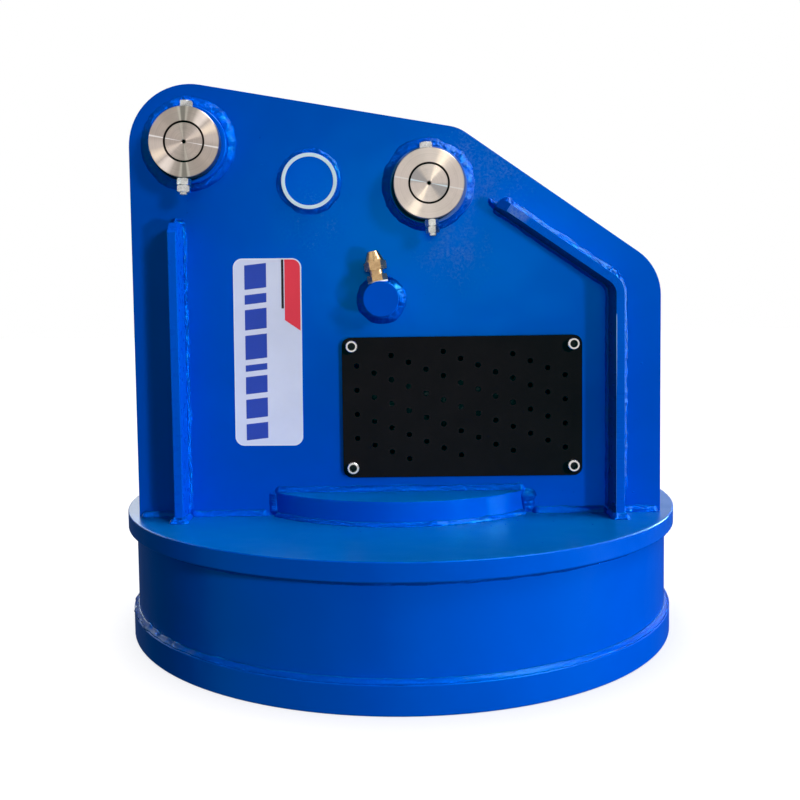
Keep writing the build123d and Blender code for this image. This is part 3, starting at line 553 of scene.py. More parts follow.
def blue_paint(name="blue_paint", weld=False, drum=False):
    g = Mat(name)
    g.set(Metallic=0.0, IOR=1.5, Specular_IOR_Level=0.5, Specular_Tint=(0.03, 0.55, 1.0))
    if weld:
        g.set(Specular_Tint=(0.02, 0.62, 1.0), Specular_IOR_Level=0.34, Coat_Weight=0.04, Coat_Roughness=0.07)
    big = g.noise(2.6, 3.0, 0.55)
    col = g.mix(g.span(big, 0.36, 0.64), (0.0, 0.068, 0.56, 1), (0.0, 0.078, 0.63, 1))
    # settled dust and a painted sheen on faces that look up: the colour turns lighter and greener there, as a sky
    # reflection would make it
    dust_and_sheen = g.math("MULTIPLY", g.span(g.normal_xyz()[2], 0.80, 0.98), g.span(g.noise(5.0, 3.0, 0.5), 0.25, 0.70, 0.80, 1.0))
    col = g.mix(dust_and_sheen, col, (0.010, 0.132, 0.455, 1))
    # painted light on the front cheek: lighter patches where reflections fall, speckled like dry overspray
    overspray_and_light = g.math("MAXIMUM", g.blob((0.165, -CH, 0.955), 0.02, 0.17), g.blob((0.115, -CH, 0.800), 0.01, 0.13))
    overspray_and_light = g.math("MAXIMUM", overspray_and_light, g.math("MULTIPLY", g.blob((-0.16, -CH, 0.860), 0.02, 0.12), 0.45))
    speck = g.noise(170.0, 2.0, 0.75)
    cloud = g.span(g.noise(26.0, 4.0, 0.65), 0.40, 0.66)
    lit_overspray = g.math("MULTIPLY", overspray_and_light, g.math("MULTIPLY", g.span(speck, 0.38, 0.66), g.math("ADD", g.math("MULTIPLY", cloud, 0.75), 0.25)))
    front = g.span(g.xyz()[1], -0.2285, -0.2265, 1.0, 0.0)
    lit_overspray = g.math("MULTIPLY", lit_overspray, front)
    col = g.mix(g.math("MULTIPLY", lit_overspray, 0.55), col, (0.130, 0.235, 0.640, 1))
    if not weld:
        x, y, z = g.xyz()
        ex, ez = g.math("SUBTRACT", x, LINK[0]), g.math("SUBTRACT", z, LINK[1])
        er = g.math("SQRT", g.math("ADD", g.math("MULTIPLY", ex, ex), g.math("MULTIPLY", ez, ez)))
        bare = g.math("MULTIPLY", g.span(er, 0.0745, 0.0765, 1.0, 0.0), g.span(g.math("ABSOLUTE", y), CH + 0.0270, CH + 0.0278))
        bare = g.math("MULTIPLY", bare, g.span(g.noise(60.0, 3.0, 0.6), 0.25, 0.55, 0.55, 0.95))
        col = g.mix(bare, col, (0.105, 0.135, 0.340, 1))
        dull = g.math("MULTIPLY", bare, 0.5)
        # painted shadow: a dark crescent below and left of each collar on the boss face, which also dulls the gloss
        # there
        for cx, cz, ox, oz in ((LINK[0], LINK[1], -0.0046, -0.0036), (ARM[0], ARM[1], -0.0030, -0.0026)):
            ex, ez = g.math("SUBTRACT", x, cx + ox), g.math("SUBTRACT", z, cz + oz)
            er = g.math("SQRT", g.math("ADD", g.math("MULTIPLY", ex, ex), g.math("MULTIPLY", ez, ez)))
            collar_shadow = g.math("MULTIPLY", g.span(er, 0.0682, 0.0700, 1.0, 0.0), g.span(g.math("ABSOLUTE", y), CH + 0.0270, CH + 0.0278))
            col = g.mix(g.math("MULTIPLY", collar_shadow, 0.93), col, (0.003, 0.005, 0.020, 1))
            dull = g.math("MAXIMUM", dull, collar_shadow)
        g.link(g.math("MULTIPLY", g.math("SUBTRACT", 1.0, g.math("MULTIPLY", dull, 0.9)), 0.5), g.b.inputs["Specular IOR Level"])
        # a greyish line along the foot of the right bar's slanted run
        off = g.math("ABSOLUTE", g.math("ADD", g.math("MULTIPLY", g.math("SUBTRACT", x, 0.2058), 0.605), g.math("MULTIPLY", g.math("SUBTRACT", z, 0.8776), 0.796)))
        line = g.math("MULTIPLY", g.span(off, 0.0006, 0.0024, 1.0, 0.0), g.math("MULTIPLY", g.span(x, 0.190, 0.215), g.span(x, 0.335, 0.365, 1.0, 0.0)))
        line = g.math("MULTIPLY", g.math("MULTIPLY", line, front), g.span(g.noise(90.0, 3.0, 0.7), 0.35, 0.60, 0.15, 0.85))
        col = g.mix(g.math("MULTIPLY", line, 0.8), col, (0.135, 0.130, 0.170, 1))
    rough = g.span(g.noise(6.0, 2.0, 0.5), 0.3, 0.7, 0.28 if not weld else 0.18, 0.31 if not weld else 0.26)
    rough = g.math("ADD", rough, g.math("MULTIPLY", lit_overspray, 0.25))
    peel = g.noise(330.0, 2.0, 0.5)
    wave = g.noise(11.0, 1.5, 0.5)
    nrm = g.bump(wave, 0.0016 if not weld else 0.0004)
    nrm = g.bump(peel, 0.00009 if not weld else 0.00022, 1.0, nrm)
    nick = g.noise(95.0, 3.0, 0.6)
    nrm = g.bump(nick, 0.00003 if not weld else 0.0005, 1.0, nrm)
    return g.finish(col, rough, nrm)


def bar_paint(name, axis):
    """Paint over flame-cut edges: fine furrows across the bar on its narrow front face."""
    g = Mat(name)
    g.set(Metallic=0.0, IOR=1.5, Specular_IOR_Level=0.5, Specular_Tint=(0.03, 0.55, 1.0))
    big = g.noise(3.1, 3.0, 0.55)
    col = g.mix(g.span(big, 0.36, 0.64), (0.0, 0.070, 0.57, 1), (0.0, 0.080, 0.64, 1))
    ny = g.normal_xyz()[1]
    faced = g.span(g.math("ABSOLUTE", ny), 0.70, 0.95)
    if axis == "right":
        c, s = 0.8223, -0.5690
        x, y, z = g.xyz()[0], g.xyz()[1], g.xyz()[2]
        along = g.math("ADD", g.math("MULTIPLY", x, c), g.math("MULTIPLY", z, s))
        upper = g.span(z, 0.700, 0.735)
        wv = g.node("CombineXYZ")
        g.link(along, wv.inputs[0])
        fur = g.noise(260.0, 3.0, 0.7, wv.outputs[0])
        vz = g.node("CombineXYZ")
        g.link(z, vz.inputs[0])
        fur2 = g.noise(240.0, 3.0, 0.7, vz.outputs[0])
        up = g.math("MULTIPLY", upper, faced)
        lowm = g.math("MULTIPLY", g.math("SUBTRACT", 1.0, upper), faced)
        h = g.math("ADD", g.math("MULTIPLY", fur, up), g.math("MULTIPLY", g.math("MULTIPLY", fur2, lowm), 0.5))
        scuff = g.math("MULTIPLY", g.blob((0.232, -BARY, 0.862), 0.006, 0.034), faced)
        sc = g.math("MULTIPLY", scuff, g.span(g.noise(140.0, 3.0, 0.7), 0.34, 0.60))
        col = g.mix(g.math("MULTIPLY", sc, 0.85), col, (0.155, 0.235, 0.620, 1))
        nx, nz = g.normal_xyz()[0], g.normal_xyz()[2]
        # painted shade: the slanted run's inner and under faces are darkened, most where they face down
        inner = g.math("ADD", g.math("MULTIPLY", nx, -0.6), g.math("MULTIPLY", nz, -0.8))
        inner = g.math("MULTIPLY", g.span(inner, 0.20, 0.50), g.math("SUBTRACT", 1.0, faced))
        under = g.span(nz, -0.60, -0.20, 1.0, 0.0)
        col = g.mix(inner, col, g.mix(under, (0.0, 0.055, 0.220, 1), (0.0, 0.028, 0.100, 1)))
        # painted highlight: a pale line down the front inner edge of the upright
        edge = g.math("MULTIPLY", g.span(x, 0.4254, 0.4262, 1.0, 0.0), g.span(y, -BARY + 0.0012, -BARY + 0.0018, 1.0, 0.0))
        edge = g.math("MULTIPLY", edge, g.math("MULTIPLY", g.span(z, 0.664, 0.669, 1.0, 0.0), g.span(z, 0.50, 0.62, 0.15, 1.0)))
        col = g.mix(edge, col, (0.42, 0.60, 0.92, 1))
        rough = g.math("ADD", g.span(g.noise(60.0, 2.0, 0.6), 0.3, 0.7, 0.26, 0.38), g.math("MULTIPLY", sc, 0.3))
        nrm = g.bump(h, 0.0019)
    else:
        vz = g.node("CombineXYZ")
        g.link(g.xyz()[2], vz.inputs[0])
        fur = g.noise(210.0, 3.0, 0.7, vz.outputs[0])
        h = g.math("MULTIPLY", fur, faced)
        rough = g.span(g.noise(60.0, 2.0, 0.6), 0.3, 0.7, 0.24, 0.36)
        nrm = g.bump(h, 0.0004)
    nrm = g.bump(g.noise(300.0, 2.0, 0.5), 0.00010, 1.0, nrm)
    return g.finish(col, rough, nrm)


def turned(name, cx, cz, tint, dark, rmid, reflection_wedges=()):
    """Lathe-turned face about the axis through (cx, cz), running along y."""
    g = Mat(name)
    g.set(Metallic=1.0, Anisotropic=1.0, Anisotropic_Rotation=0.25, IOR=2.5)
    tan = g.node("Tangent", direction_type="RADIAL", axis="Y")
    g.link(tan.outputs[0], g.b.inputs["Tangent"])
    x, y, z = g.xyz()
    dx, dz = g.math("SUBTRACT", x, cx), g.math("SUBTRACT", z, cz)
    r = g.math("SQRT", g.math("ADD", g.math("MULTIPLY", dx, dx), g.math("MULTIPLY", dz, dz)))
    rv = g.node("CombineXYZ")
    g.link(r, rv.inputs[0])
    groove = g.noise(2600.0, 2.0, 0.6, rv.outputs[0])
    band = g.noise(330.0, 3.0, 0.6, rv.outputs[0])
    spot = g.noise(42.0, 4.0, 0.65)
    col = g.mix(g.span(band, 0.35, 0.65), tint, dark)
    col = g.mix(g.span(spot, 0.52, 0.74, 0.0, 0.30), col, tuple(0.72 * c for c in dark[:3]) + (1,))

    def wedge(deg, half, edge, both=True):
        """Mask of a wedge about the axis."""
        t = math.radians(deg)
        c = g.math("ADD", g.math("MULTIPLY", dx, math.cos(t)), g.math("MULTIPLY", dz, math.sin(t)))
        c = g.math("DIVIDE", c, g.math("MAXIMUM", r, 0.001))
        if both:
            c = g.math("ABSOLUTE", c)
        return g.span(c, math.cos(math.radians(half + edge)), math.cos(math.radians(max(half - edge, 0.0))))

    rim = g.span(r, 0.0390, 0.0400)
    # painted reflections: bright and dark wedges about the axis and a thin highlight streak, mixed into the colour
    for deg, half, edge, where, amount, tone in reflection_wedges:
        m = wedge(deg, half, edge, both=where != "once")
        if where == "rim":
            m = g.math("MULTIPLY", m, rim)
        elif where != "all":
            m = g.math("MULTIPLY", m, g.math("SUBTRACT", 1.0, rim))
        m = g.math("MULTIPLY", m, amount)
        col = g.mix(m, col, tone)
    # painted reflection on the collars' side walls, blue from the cheek and dark towards the lower left; painted shade
    # in the gap round the pin and in the centre hole
    side = g.math("MULTIPLY", g.span(g.math("ABSOLUTE", g.normal_xyz()[1]), 0.25, 0.60, 1.0, 0.0), g.span(r, 0.060, 0.066))
    lowleft = g.math("DIVIDE", g.math("SUBTRACT", g.math("MULTIPLY", g.math("ADD", dx, dz), -0.7071), 0.0), g.math("MAXIMUM", r, 0.001))
    side_tone = g.mix(g.span(lowleft, -0.15, 0.35), (0.040, 0.130, 0.380, 1), (0.035, 0.030, 0.030, 1))
    col = g.mix(g.math("MULTIPLY", side, 0.88), col, side_tone)
    gap = g.math("MULTIPLY", g.span(r, 0.0364, 0.0368), g.span(r, 0.0402, 0.0406, 1.0, 0.0))
    gap = g.math("MULTIPLY", gap, g.span(g.math("ABSOLUTE", y), 0.2580, 0.2588))
    hole = g.span(r, 0.0036, 0.0042, 1.0, 0.0)
    gap_and_hole_shade = g.math("MAXIMUM", gap, hole)
    col = g.mix(gap_and_hole_shade, col, (0.050, 0.012, 0.010, 1))
    rough = g.math("ADD", g.span(band, 0.3, 0.7, 0.26, 0.34), g.math("MULTIPLY", gap_and_hole_shade, 0.45))
    nrm = g.bump(groove, 0.00002, 0.7)
    nrm = g.bump(band, 0.00003, 0.6, nrm)
    return g.finish(col, rough, nrm)


def metal(name, tint, dark, r0, r1, scale=60.0, bump=0.00003, fine=700.0, pins=False, sockets=()):
    g = Mat(name)
    g.set(Metallic=1.0, IOR=2.5)
    v = g.noise(scale, 4.0, 0.6)
    col = g.mix(g.span(v, 0.35, 0.68), tint, dark)
    if pins:
        # painted shade: bolt shanks go dark within the pin's radius, where they run through the shaded gap round it
        x, y, z = g.xyz()
        for cx, cz in (ARM, LINK):
            ex, ez = g.math("SUBTRACT", x, cx), g.math("SUBTRACT", z, cz)
            r = g.math("SQRT", g.math("ADD", g.math("MULTIPLY", ex, ex), g.math("MULTIPLY", ez, ez)))
            col = g.mix(g.span(r, 0.0405, 0.0415, 1.0, 0.0), col, (0.012, 0.008, 0.006, 1))
    # painted shade in the screw heads' hex sockets
    for cx, cz in sockets:
        x, y, z = g.xyz()
        ex, ez = g.math("SUBTRACT", x, cx), g.math("SUBTRACT", z, cz)
        r = g.math("SQRT", g.math("ADD", g.math("MULTIPLY", ex, ex), g.math("MULTIPLY", ez, ez)))
        col = g.mix(g.span(r, 0.0074, 0.0082, 1.0, 0.0), col, (0.020, 0.016, 0.018, 1))
    rough = g.span(g.noise(scale * 2.3, 3.0, 0.6), 0.3, 0.7, r0, r1)
    nrm = g.bump(g.noise(fine, 2.0, 0.6), bump)
    return g.finish(col, rough, nrm)


def plain(name, tint, dark, r0, r1, scale=60.0, bump=0.00004, fine=500.0, spec=0.5, tintspec=None):
    g = Mat(name)
    g.set(Metallic=0.0, IOR=1.5, Specular_IOR_Level=spec)
    if tintspec:
        g.set(Specular_Tint=tintspec)
    v = g.noise(scale, 4.0, 0.6)
    col = g.mix(g.span(v, 0.35, 0.68), tint, dark)
    rough = g.span(g.noise(scale * 2.3, 3.0, 0.6), 0.3, 0.7, r0, r1)
    nrm = g.bump(g.noise(fine, 2.0, 0.6), bump)
    return g.finish(col, rough, nrm)


def laminated(name):
    g = Mat(name)
    g.set(Metallic=1.0, IOR=2.5)
    vz = g.node("CombineXYZ")
    g.link(g.xyz()[0], vz.inputs[0])
    h = g.noise(1500.0, 1.0, 0.5, vz.outputs[0])
    col = g.mix(g.span(h, 0.35, 0.65), (0.20, 0.20, 0.22, 1), (0.11, 0.11, 0.12, 1))
    return g.finish(col, g.span(h, 0.3, 0.7, 0.40, 0.55), g.bump(h, 0.00015))


MATS = {
    "blue_paint": blue_paint(),
    "weld_paint": blue_paint("weld_paint", weld=True),
    "zinc_plated": metal("zinc_plated", (0.78, 0.82, 0.82, 1), (0.46, 0.48, 0.47, 1), 0.20, 0.32, 90.0, 0.00005, pins=True),
    "stainless": metal("stainless", (0.90, 0.90, 0.90, 1), (0.78, 0.78, 0.78, 1), 0.20, 0.32, 90.0, 0.00003,
                       sockets=((-0.0935, 0.3624), (-0.0935, 0.6087), (0.3521, 0.3624), (0.3521, 0.6087))),
    "black_paint": plain("black_paint", (0.0175, 0.0078, 0.0088, 1), (0.0150, 0.0058, 0.0068, 1), 0.34, 0.44, 14.0, 0.00005, 900.0, 0.06, (0.7, 0.9, 1.0)),
    "brass": metal("brass", (0.72, 0.50, 0.27, 1), (0.46, 0.30, 0.15, 1), 0.16, 0.30, 70.0, 0.00003),
    "white_seal": plain("white_seal", (0.80, 0.80, 0.78, 1), (0.66, 0.66, 0.64, 1), 0.45, 0.6, 80.0),
    "label_film": plain("label_film", (0.76, 0.81, 1.0, 1), (0.72, 0.77, 0.96, 1), 0.30, 0.40, 12.0, 0.00003, 300.0, 0.4),
    "bare_pole": metal("bare_pole", (0.42, 0.41, 0.40, 1), (0.24, 0.23, 0.22, 1), 0.30, 0.48, 22.0, 0.00010, 240.0),
    "manganese_plate": metal("manganese_plate", (0.32, 0.31, 0.30, 1), (0.18, 0.17, 0.17, 1), 0.38, 0.56, 16.0, 0.00012, 180.0),
    "aluminium_winding": metal("aluminium_winding", (0.74, 0.74, 0.74, 1), (0.60, 0.60, 0.60, 1), 0.30, 0.42),
    "potting": plain("potting", (0.030, 0.024, 0.020, 1), (0.018, 0.015, 0.013, 1), 0.40, 0.60, 30.0),
    "cast_iron": plain("cast_iron", (0.045, 0.048, 0.052, 1), (0.030, 0.032, 0.035, 1), 0.45, 0.62, 60.0, 0.0004, 260.0),
    "gear_steel": metal("gear_steel", (0.52, 0.52, 0.52, 1), (0.36, 0.36, 0.36, 1), 0.22, 0.34),
    "cast_aluminium": metal("cast_aluminium", (0.50, 0.51, 0.52, 1), (0.36, 0.37, 0.38, 1), 0.42, 0.58, 50.0, 0.0003, 260.0),
    "lamination": laminated("lamination"),
    "copper_winding": metal("copper_winding", (0.55, 0.20, 0.08, 1), (0.36, 0.12, 0.05, 1), 0.26, 0.42, 90.0, 0.0002, 320.0),
    "bearing_steel": metal("bearing_steel", (0.74, 0.74, 0.76, 1), (0.62, 0.62, 0.64, 1), 0.10, 0.18),
    "grey_paint": plain("grey_paint", (0.075, 0.080, 0.088, 1), (0.055, 0.060, 0.066, 1), 0.34, 0.50, 40.0, 0.0002, 260.0),
}
# turned steel with painted reflections: each wedge tuple gives angle, half width, soft edge, where, amount and tone;
# the arm pin's steel is a darker, shaded copy of the link pin's
TURNED = {
    "arm": turned("turned_arm", ARM[0], ARM[1], (0.57, 0.50, 0.46, 1), (0.47, 0.42, 0.385, 1), 0.04, (
        (52.0, 9.0, 5.0, "rim", 0.78, (1.0, 0.92, 0.86, 1)), (6.0, 9.0, 6.0, "rim", 0.35, (0.95, 0.86, 0.80, 1)),
        (28.0, 10.0, 8.0, "face", 0.40, (1.0, 0.92, 0.85, 1)), (120.0, 13.0, 7.0, "rim", 0.50, (0.36, 0.31, 0.28, 1)), (215.0, 30.0, 20.0, "face", 0.25, (0.36, 0.31, 0.28, 1)),
        (90.0, 9.5, 1.5, "rim", 0.55, (0.88, 0.86, 0.78, 1)), (90.0, 4.6, 1.2, "rim", 0.9, (0.33, 0.31, 0.28, 1)),
        (97.0, 5.0, 1.5, "face", 0.45, (0.86, 0.82, 0.74, 1)), (75.0, 3.0, 2.0, "rim", 0.4, (0.40, 0.35, 0.31, 1)),
        (205.0, 8.0, 5.0, "rim", 0.60, (0.95, 0.85, 0.72, 1)), (-11.0, 1.3, 0.8, "all", 0.9, (1.0, 1.0, 1.0, 1)))),
    "link": turned("turned_link", LINK[0], LINK[1], (0.76, 0.695, 0.645, 1), (0.68, 0.62, 0.575, 1), 0.04, (
        (150.0, 22.0, 10.0, "face", 0.75, (0.32, 0.325, 0.345, 1)), (60.0, 9.0, 5.0, "all", 0.35, (1.0, 0.90, 0.74, 1)),
        (-11.3, 2.4, 1.4, "face", 0.9, (0.75, 0.92, 1.0, 1)), (-11.3, 1.2, 0.8, "rim", 0.5, (0.95, 1.0, 1.0, 1)))),
}
BAR_MAT = {"left": bar_paint("bar_left", "left"), "right": bar_paint("bar_right", "right")}

slots = {row["node"]: row["material_slot"] for row in frame["record"]["subparts"]}
for node, ob in frame["nodes"].items():
    slot = slots[node]
    mat = MATS.get(slot)
    if slot == "turned_steel":
        mat = TURNED["arm" if node.startswith("arm") else "link"]
    if node in ("left_stiffener_front", "left_stiffener_rear"):
        mat = BAR_MAT["left"]
    if node in ("right_stiffener_front", "right_stiffener_rear"):
        mat = BAR_MAT["right"]
    if not ob.material_slots:
        ob.data.materials.append(mat)
    for s in ob.material_slots:
        s.link = "OBJECT"
        s.material = mat

for name, V, F in WELDS:
    add_mesh(name, V, F, mat=MATS["weld_paint"])
V, F = build_spatter()
add_mesh("weld_spatter", V, F, mat=MATS["weld_paint"])


# ------------------------------------------------------------------ badge ring and label fields, thin painted shapes
def ring_plate(name, cx, cz, r0, r1, y0, y1, mat, n=160):
    V, F = [], []
    e = min(0.0003, (r1 - r0) * 0.2)
    prof = [(r0, y0), (r0, y1 + e * 0.5), (r0 + e, y1), (r1 - e, y1), (r1, y1 + e * 0.5), (r1, y0)]
    k = len(prof)
    for i in range(n):
        a = 2 * math.pi * i / n
        for r, y in prof:
            V.append((cx + r * math.cos(a), y, cz + r * math.sin(a)))
    for i in range(n):
        j = (i + 1) % n
        for c in range(k):
            d = (c + 1) % k
            F.append((i * k + c, j * k + c, j * k + d, i * k + d))
    return add_mesh(name, V, F, smooth=False, mat=mat)


def slab(name, pts, y0, y1, mat):
    k = len(pts)
    V = [(x, y0, z) for x, z in pts] + [(x, y1, z) for x, z in pts]
    F = [tuple(range(k)), tuple(range(2 * k - 1, k - 1, -1))]
    F += [(i, (i + 1) % k, k + (i + 1) % k, k + i) for i in range(k)]
    return add_mesh(name, V, F, smooth=False, mat=mat)


def rounded(x0, z0, x1, z1, r, tilt, c, n=10, corners=(1, 1, 1, 1)):
    out = []
    t = math.radians(tilt)
    for (cx, cz, a0), on in zip(((x1 - r, z1 - r, 0), (x0 + r, z1 - r, 90), (x0 + r, z0 + r, 180), (x1 - r, z0 + r, 270)), corners):
        if not on:
            px = x1 if a0 in (0, 270) else x0
            pz = z1 if a0 in (0, 90) else z0
            out.append((px, pz))
            continue
        for i in range(n + 1):
            a = math.radians(a0 + 90 * i / n)
            out.append((cx + r * math.cos(a), cz + r * math.sin(a)))
    return [(c[0] + (x * math.cos(t) + z * math.sin(t)), c[1] + (-x * math.sin(t) + z * math.cos(t))) for x, z in out]


WHITE = plain("badge_white", (0.74, 0.90, 0.97, 1), (0.66, 0.84, 0.93, 1), 0.28, 0.38, 40.0, 0.00003, 300.0, 0.4)
RED = plain("label_red", (0.92, 0.060, 0.094, 1), (0.88, 0.055, 0.088, 1), 0.30, 0.40, 12.0, 0.00002, 300.0, 0.3)
INK = plain("label_ink", (0.022, 0.010, 0.014, 1), (0.020, 0.008, 0.012, 1), 0.35, 0.42, 12.0, 0.00002, 300.0, 0.3)
INDIGO = plain("label_indigo", (0.040, 0.074, 0.470, 1), (0.036, 0.068, 0.440, 1), 0.30, 0.40, 12.0, 0.00002, 300.0, 0.3)
RIM = plain("label_rim", (0.80, 0.89, 1.0, 1), (0.77, 0.86, 0.98, 1), 0.30, 0.40, 12.0, 0.00002, 300.0, 0.4)
ring_plate("badge_ring", BADGE[0], BADGE[1], 0.0483, 0.0556, -CH - 0.0096, -CH - 0.0108, WHITE)

LC = (-0.2633, 0.5984)
LT = 0.4
yl = -CH - 0.0010
LW, LH, LR = 0.069, 0.190, 0.0185
# pale rim just inside the film's edge
outer = rounded(-LW + 0.0003, -LH + 0.0003, LW - 0.0003, LH - 0.0003, LR, LT, LC, 12)
inner = rounded(-LW + 0.0024, -LH + 0.0024, LW - 0.0024, LH - 0.0024, LR - 0.002, LT, LC, 12)
k = len(outer)
V = [(x, yl + 0.0002, z) for x, z in outer] + [(x, yl + 0.0002, z) for x, z in inner]
V += [(x, yl - 0.00015, z) for x, z in outer] + [(x, yl - 0.00015, z) for x, z in inner]
F = []
for i in range(k):
    j = (i + 1) % k
    F += [(i, j, k + j, k + i), (2 * k + i, 3 * k + i, 3 * k + j, 2 * k + j), (i, 2 * k + i, 2 * k + j, j), (k + i, k + j, 3 * k + j, 3 * k + i)]
add_mesh("label_rim", V, F, smooth=False, mat=RIM)


def lab(u, v):
    """Label coordinates, metres from its middle, to the cheek."""
    t = math.radians(LT)
    return LC[0] + u * math.cos(t) + v * math.sin(t), LC[1] - u * math.sin(t) + v * math.cos(t)


top = LH - 0.0024
rr = LR - 0.0026
corner = [(LW - 0.0026 - rr + rr * math.cos(math.radians(a)), top - rr + rr * math.sin(math.radians(a))) for a in range(0, 91, 9)]
red = [(0.0350, top)] + [(0.0350, 0.0655), (LW - 0.0026, 0.0440)] + corner
slab("label_red_field", [lab(u, v) for u, v in red], yl + 0.0002, yl - 0.00016, RED)
slab("label_black_line", [lab(u, v) for u, v in ((0.0284, top), (0.0284, 0.0890), (0.0333, 0.0890), (0.0333, top))], yl + 0.0002, yl - 0.00016, INK)
bars = []
v = 0.1810
for i, h in enumerate((0.060, 0.030, 0.052, 0.060, 0.024, 0.046, 0.050, 0.044)):
    if v - h < -0.1860:
        break
    bars.append((v, v - h + 0.011))
    v -= h
for i, (a, b) in enumerate(bars):
    u0, u1, sk = -0.0460, -0.0020, 0.005
    slab("label_field_%d" % i, [lab(u0, a - sk), lab(u0, b - sk), lab(u1, b + sk * 0.0), lab(u1, a)], yl + 0.0002, yl - 0.00016, INDIGO)

# ------------------------------------------------------------------ floor
S = 30.0
fl = bpy.data.meshes.new("floor")
fl.from_pydata([(-S, -S, 0), (S, -S, 0), (S, S, 0), (-S, S, 0)], [], [(0, 1, 2, 3)])
floor = bpy.data.objects.new("floor", fl)
bpy.context.scene.collection.objects.link(floor)
g = Mat("floor_pale")
g.set(Metallic=0.0, Specular_IOR_Level=0.15)
c = g.mix(g.span(g.noise(0.8, 3.0, 0.5), 0.3, 0.7), (0.40, 0.40, 0.40, 1), (0.39, 0.39, 0.392, 1))
g.set(Emission_Color=(1.0, 1.0, 1.0), Emission_Strength=0.62)
r = g.span(g.noise(3.0, 3.0, 0.5), 0.3, 0.7, 0.65, 0.75)
fl.materials.append(g.finish(c, r, g.bump(g.noise(90.0, 2.0, 0.5), 0.0002, 0.5)))
floor.visible_diffuse = False
floor.visible_glossy = False


# ------------------------------------------------------------------ light
def aim(az, el):
    """Direction towards a light: azimuth 0 is in front (-y), 90 is +x."""
    a, e = math.radians(az), math.radians(el)
    return Vector((math.sin(a) * math.cos(e), -math.cos(a) * math.cos(e), math.sin(e)))


def sun(name, az, el, strength, angle, color=(1, 1, 1), diffuse=True, glossy=True):
    d = bpy.data.lights.new(name, "SUN")
    d.energy, d.angle, d.color = strength, math.radians(angle), color
    o = bpy.data.objects.new(name, d)
    bpy.context.scene.collection.objects.link(o)
    v = aim(az, el)
    o.location = v * 6
    o.rotation_euler = v.to_track_quat("Z", "Y").to_euler()
    o.visible_diffuse, o.visible_glossy = diffuse, glossy
    return o


def area(name, at, to, w, h, power, color=(1, 1, 1), diffuse=True, glossy=True):
    d = bpy.data.lights.new(name, "AREA")
    d.shape, d.size, d.size_y, d.energy, d.color = "RECTANGLE", w, h, power, color
    o = bpy.data.objects.new(name, d)
    bpy.context.scene.collection.objects.link(o)
    o.location = at
    o.rotation_euler = (Vector(at) - Vector(to)).to_track_quat("Z", "Y").to_euler()
    o.visible_diffuse, o.visible_glossy = diffuse, glossy
    return o


def only(lamp, objs, blockers=None):
    """The lamp lights these objects only."""
    c = bpy.data.collections.new(lamp.name + "_on")
    for o in objs:
        c.objects.link(o)
    lamp.light_linking.receiver_collection = c


def spare(lamp, objs):
    """The lamp lights everything but these objects."""
    c = bpy.data.collections.new(lamp.name + "_off")
    for o in objs:
        c.objects.link(o)
    for q in c.collection_objects:
        q.light_linking.link_state = "EXCLUDE"
    lamp.light_linking.receiver_collection = c


meshes = [o for o in bpy.context.scene.objects if o.type == "MESH" and o is not floor]
PAINTS = (MATS["blue_paint"], MATS["weld_paint"], BAR_MAT["left"], BAR_MAT["right"])
painted = [o for o in meshes if any(q.material in PAINTS for q in o.material_slots)]
steel = [o for o in meshes if any(q.material in (TURNED["arm"], TURNED["link"]) for q in o.material_slots)]

welds = [o for o in painted if any(q.material is MATS["weld_paint"] for q in o.material_slots)]
bright = [o for o in meshes if any(q.material in (MATS["zinc_plated"], MATS["stainless"]) for q in o.material_slots)]
brass = [o for o in meshes if any(q.material is MATS["brass"] for q in o.material_slots)]
flat = [o for o in painted if o not in welds]
cheek = frame["nodes"]["cheek_front"]
right_bar = [frame["nodes"]["right_stiffener_front"]] + [o for o in welds if "bar_right" in o.name]
left_bar = [frame["nodes"]["left_stiffener_front"]] + [o for o in welds if "bar_left" in o.name]
zinc = [o for o in bright if any(q.material is MATS["zinc_plated"] for q in o.material_slots)]
fittings = [frame["nodes"][k] for k in ("cable_stub", "gland_body", "gland_nut", "badge_disc", "vent_cover_front")]
high = sun("key_high", 44, 19, 0.93, 12, (1.0, 0.985, 0.96), glossy=False)
low = area("key_low", (2.6, -3.4, 0.02), (0.35, -0.23, 0.72), 0.34, 0.34, 54, (1.0, 0.985, 0.96), glossy=False)
only(high, [cheek])
only(low, [cheek])


def blockers(lamp, objs, state):
    """Which objects cast the lamp's shadows: only these, or all but these."""
    c = bpy.data.collections.new(lamp.name + "_block")
    for o in objs:
        c.objects.link(o)
    if state == "EXCLUDE":
        for q in c.collection_objects:
            q.light_linking.link_state = "EXCLUDE"
    lamp.light_linking.blocker_collection = c


blockers(high, right_bar, "EXCLUDE")
blockers(low, right_bar + left_bar + fittings, "INCLUDE")
for lamp in (sun("key", 40, 19, 2.15, 9, (1.0, 0.985, 0.96), glossy=False),
             sun("side", 82, 10, 1.70, 34, (0.97, 0.985, 1.0)),
             sun("overhead", 78, 58, 1.75, 30, (0.98, 0.99, 1.0)),
             sun("rear", 200, 30, 1.0, 40, (1.0, 1.0, 1.0)),
             sun("rear_left", -115, 14, 0.30, 30, (0.97, 0.98, 1.0))):
    spare(lamp, [floor] + {"side": steel + bright + [cheek], "key": [cheek]}.get(lamp.name, []))
only(sun("floor_wash", 0, 88, 3.6, 60), [floor])
only(area("softbox", (0.33, -4.2, 1.15), (0.13, -0.23, 0.80), 1.75, 0.9, 30, (0.80, 0.88, 1.0), diffuse=False), [o for o in painted if o is not frame["nodes"]["cable_stub"]])
only(sun("key_gloss", 42, 19, 1.1, 16, (0.55, 0.92, 1.0), diffuse=False), flat)
only(sun("weld_gloss", 46, 24, 0.75, 10, (0.15, 0.90, 1.0), diffuse=False), welds)
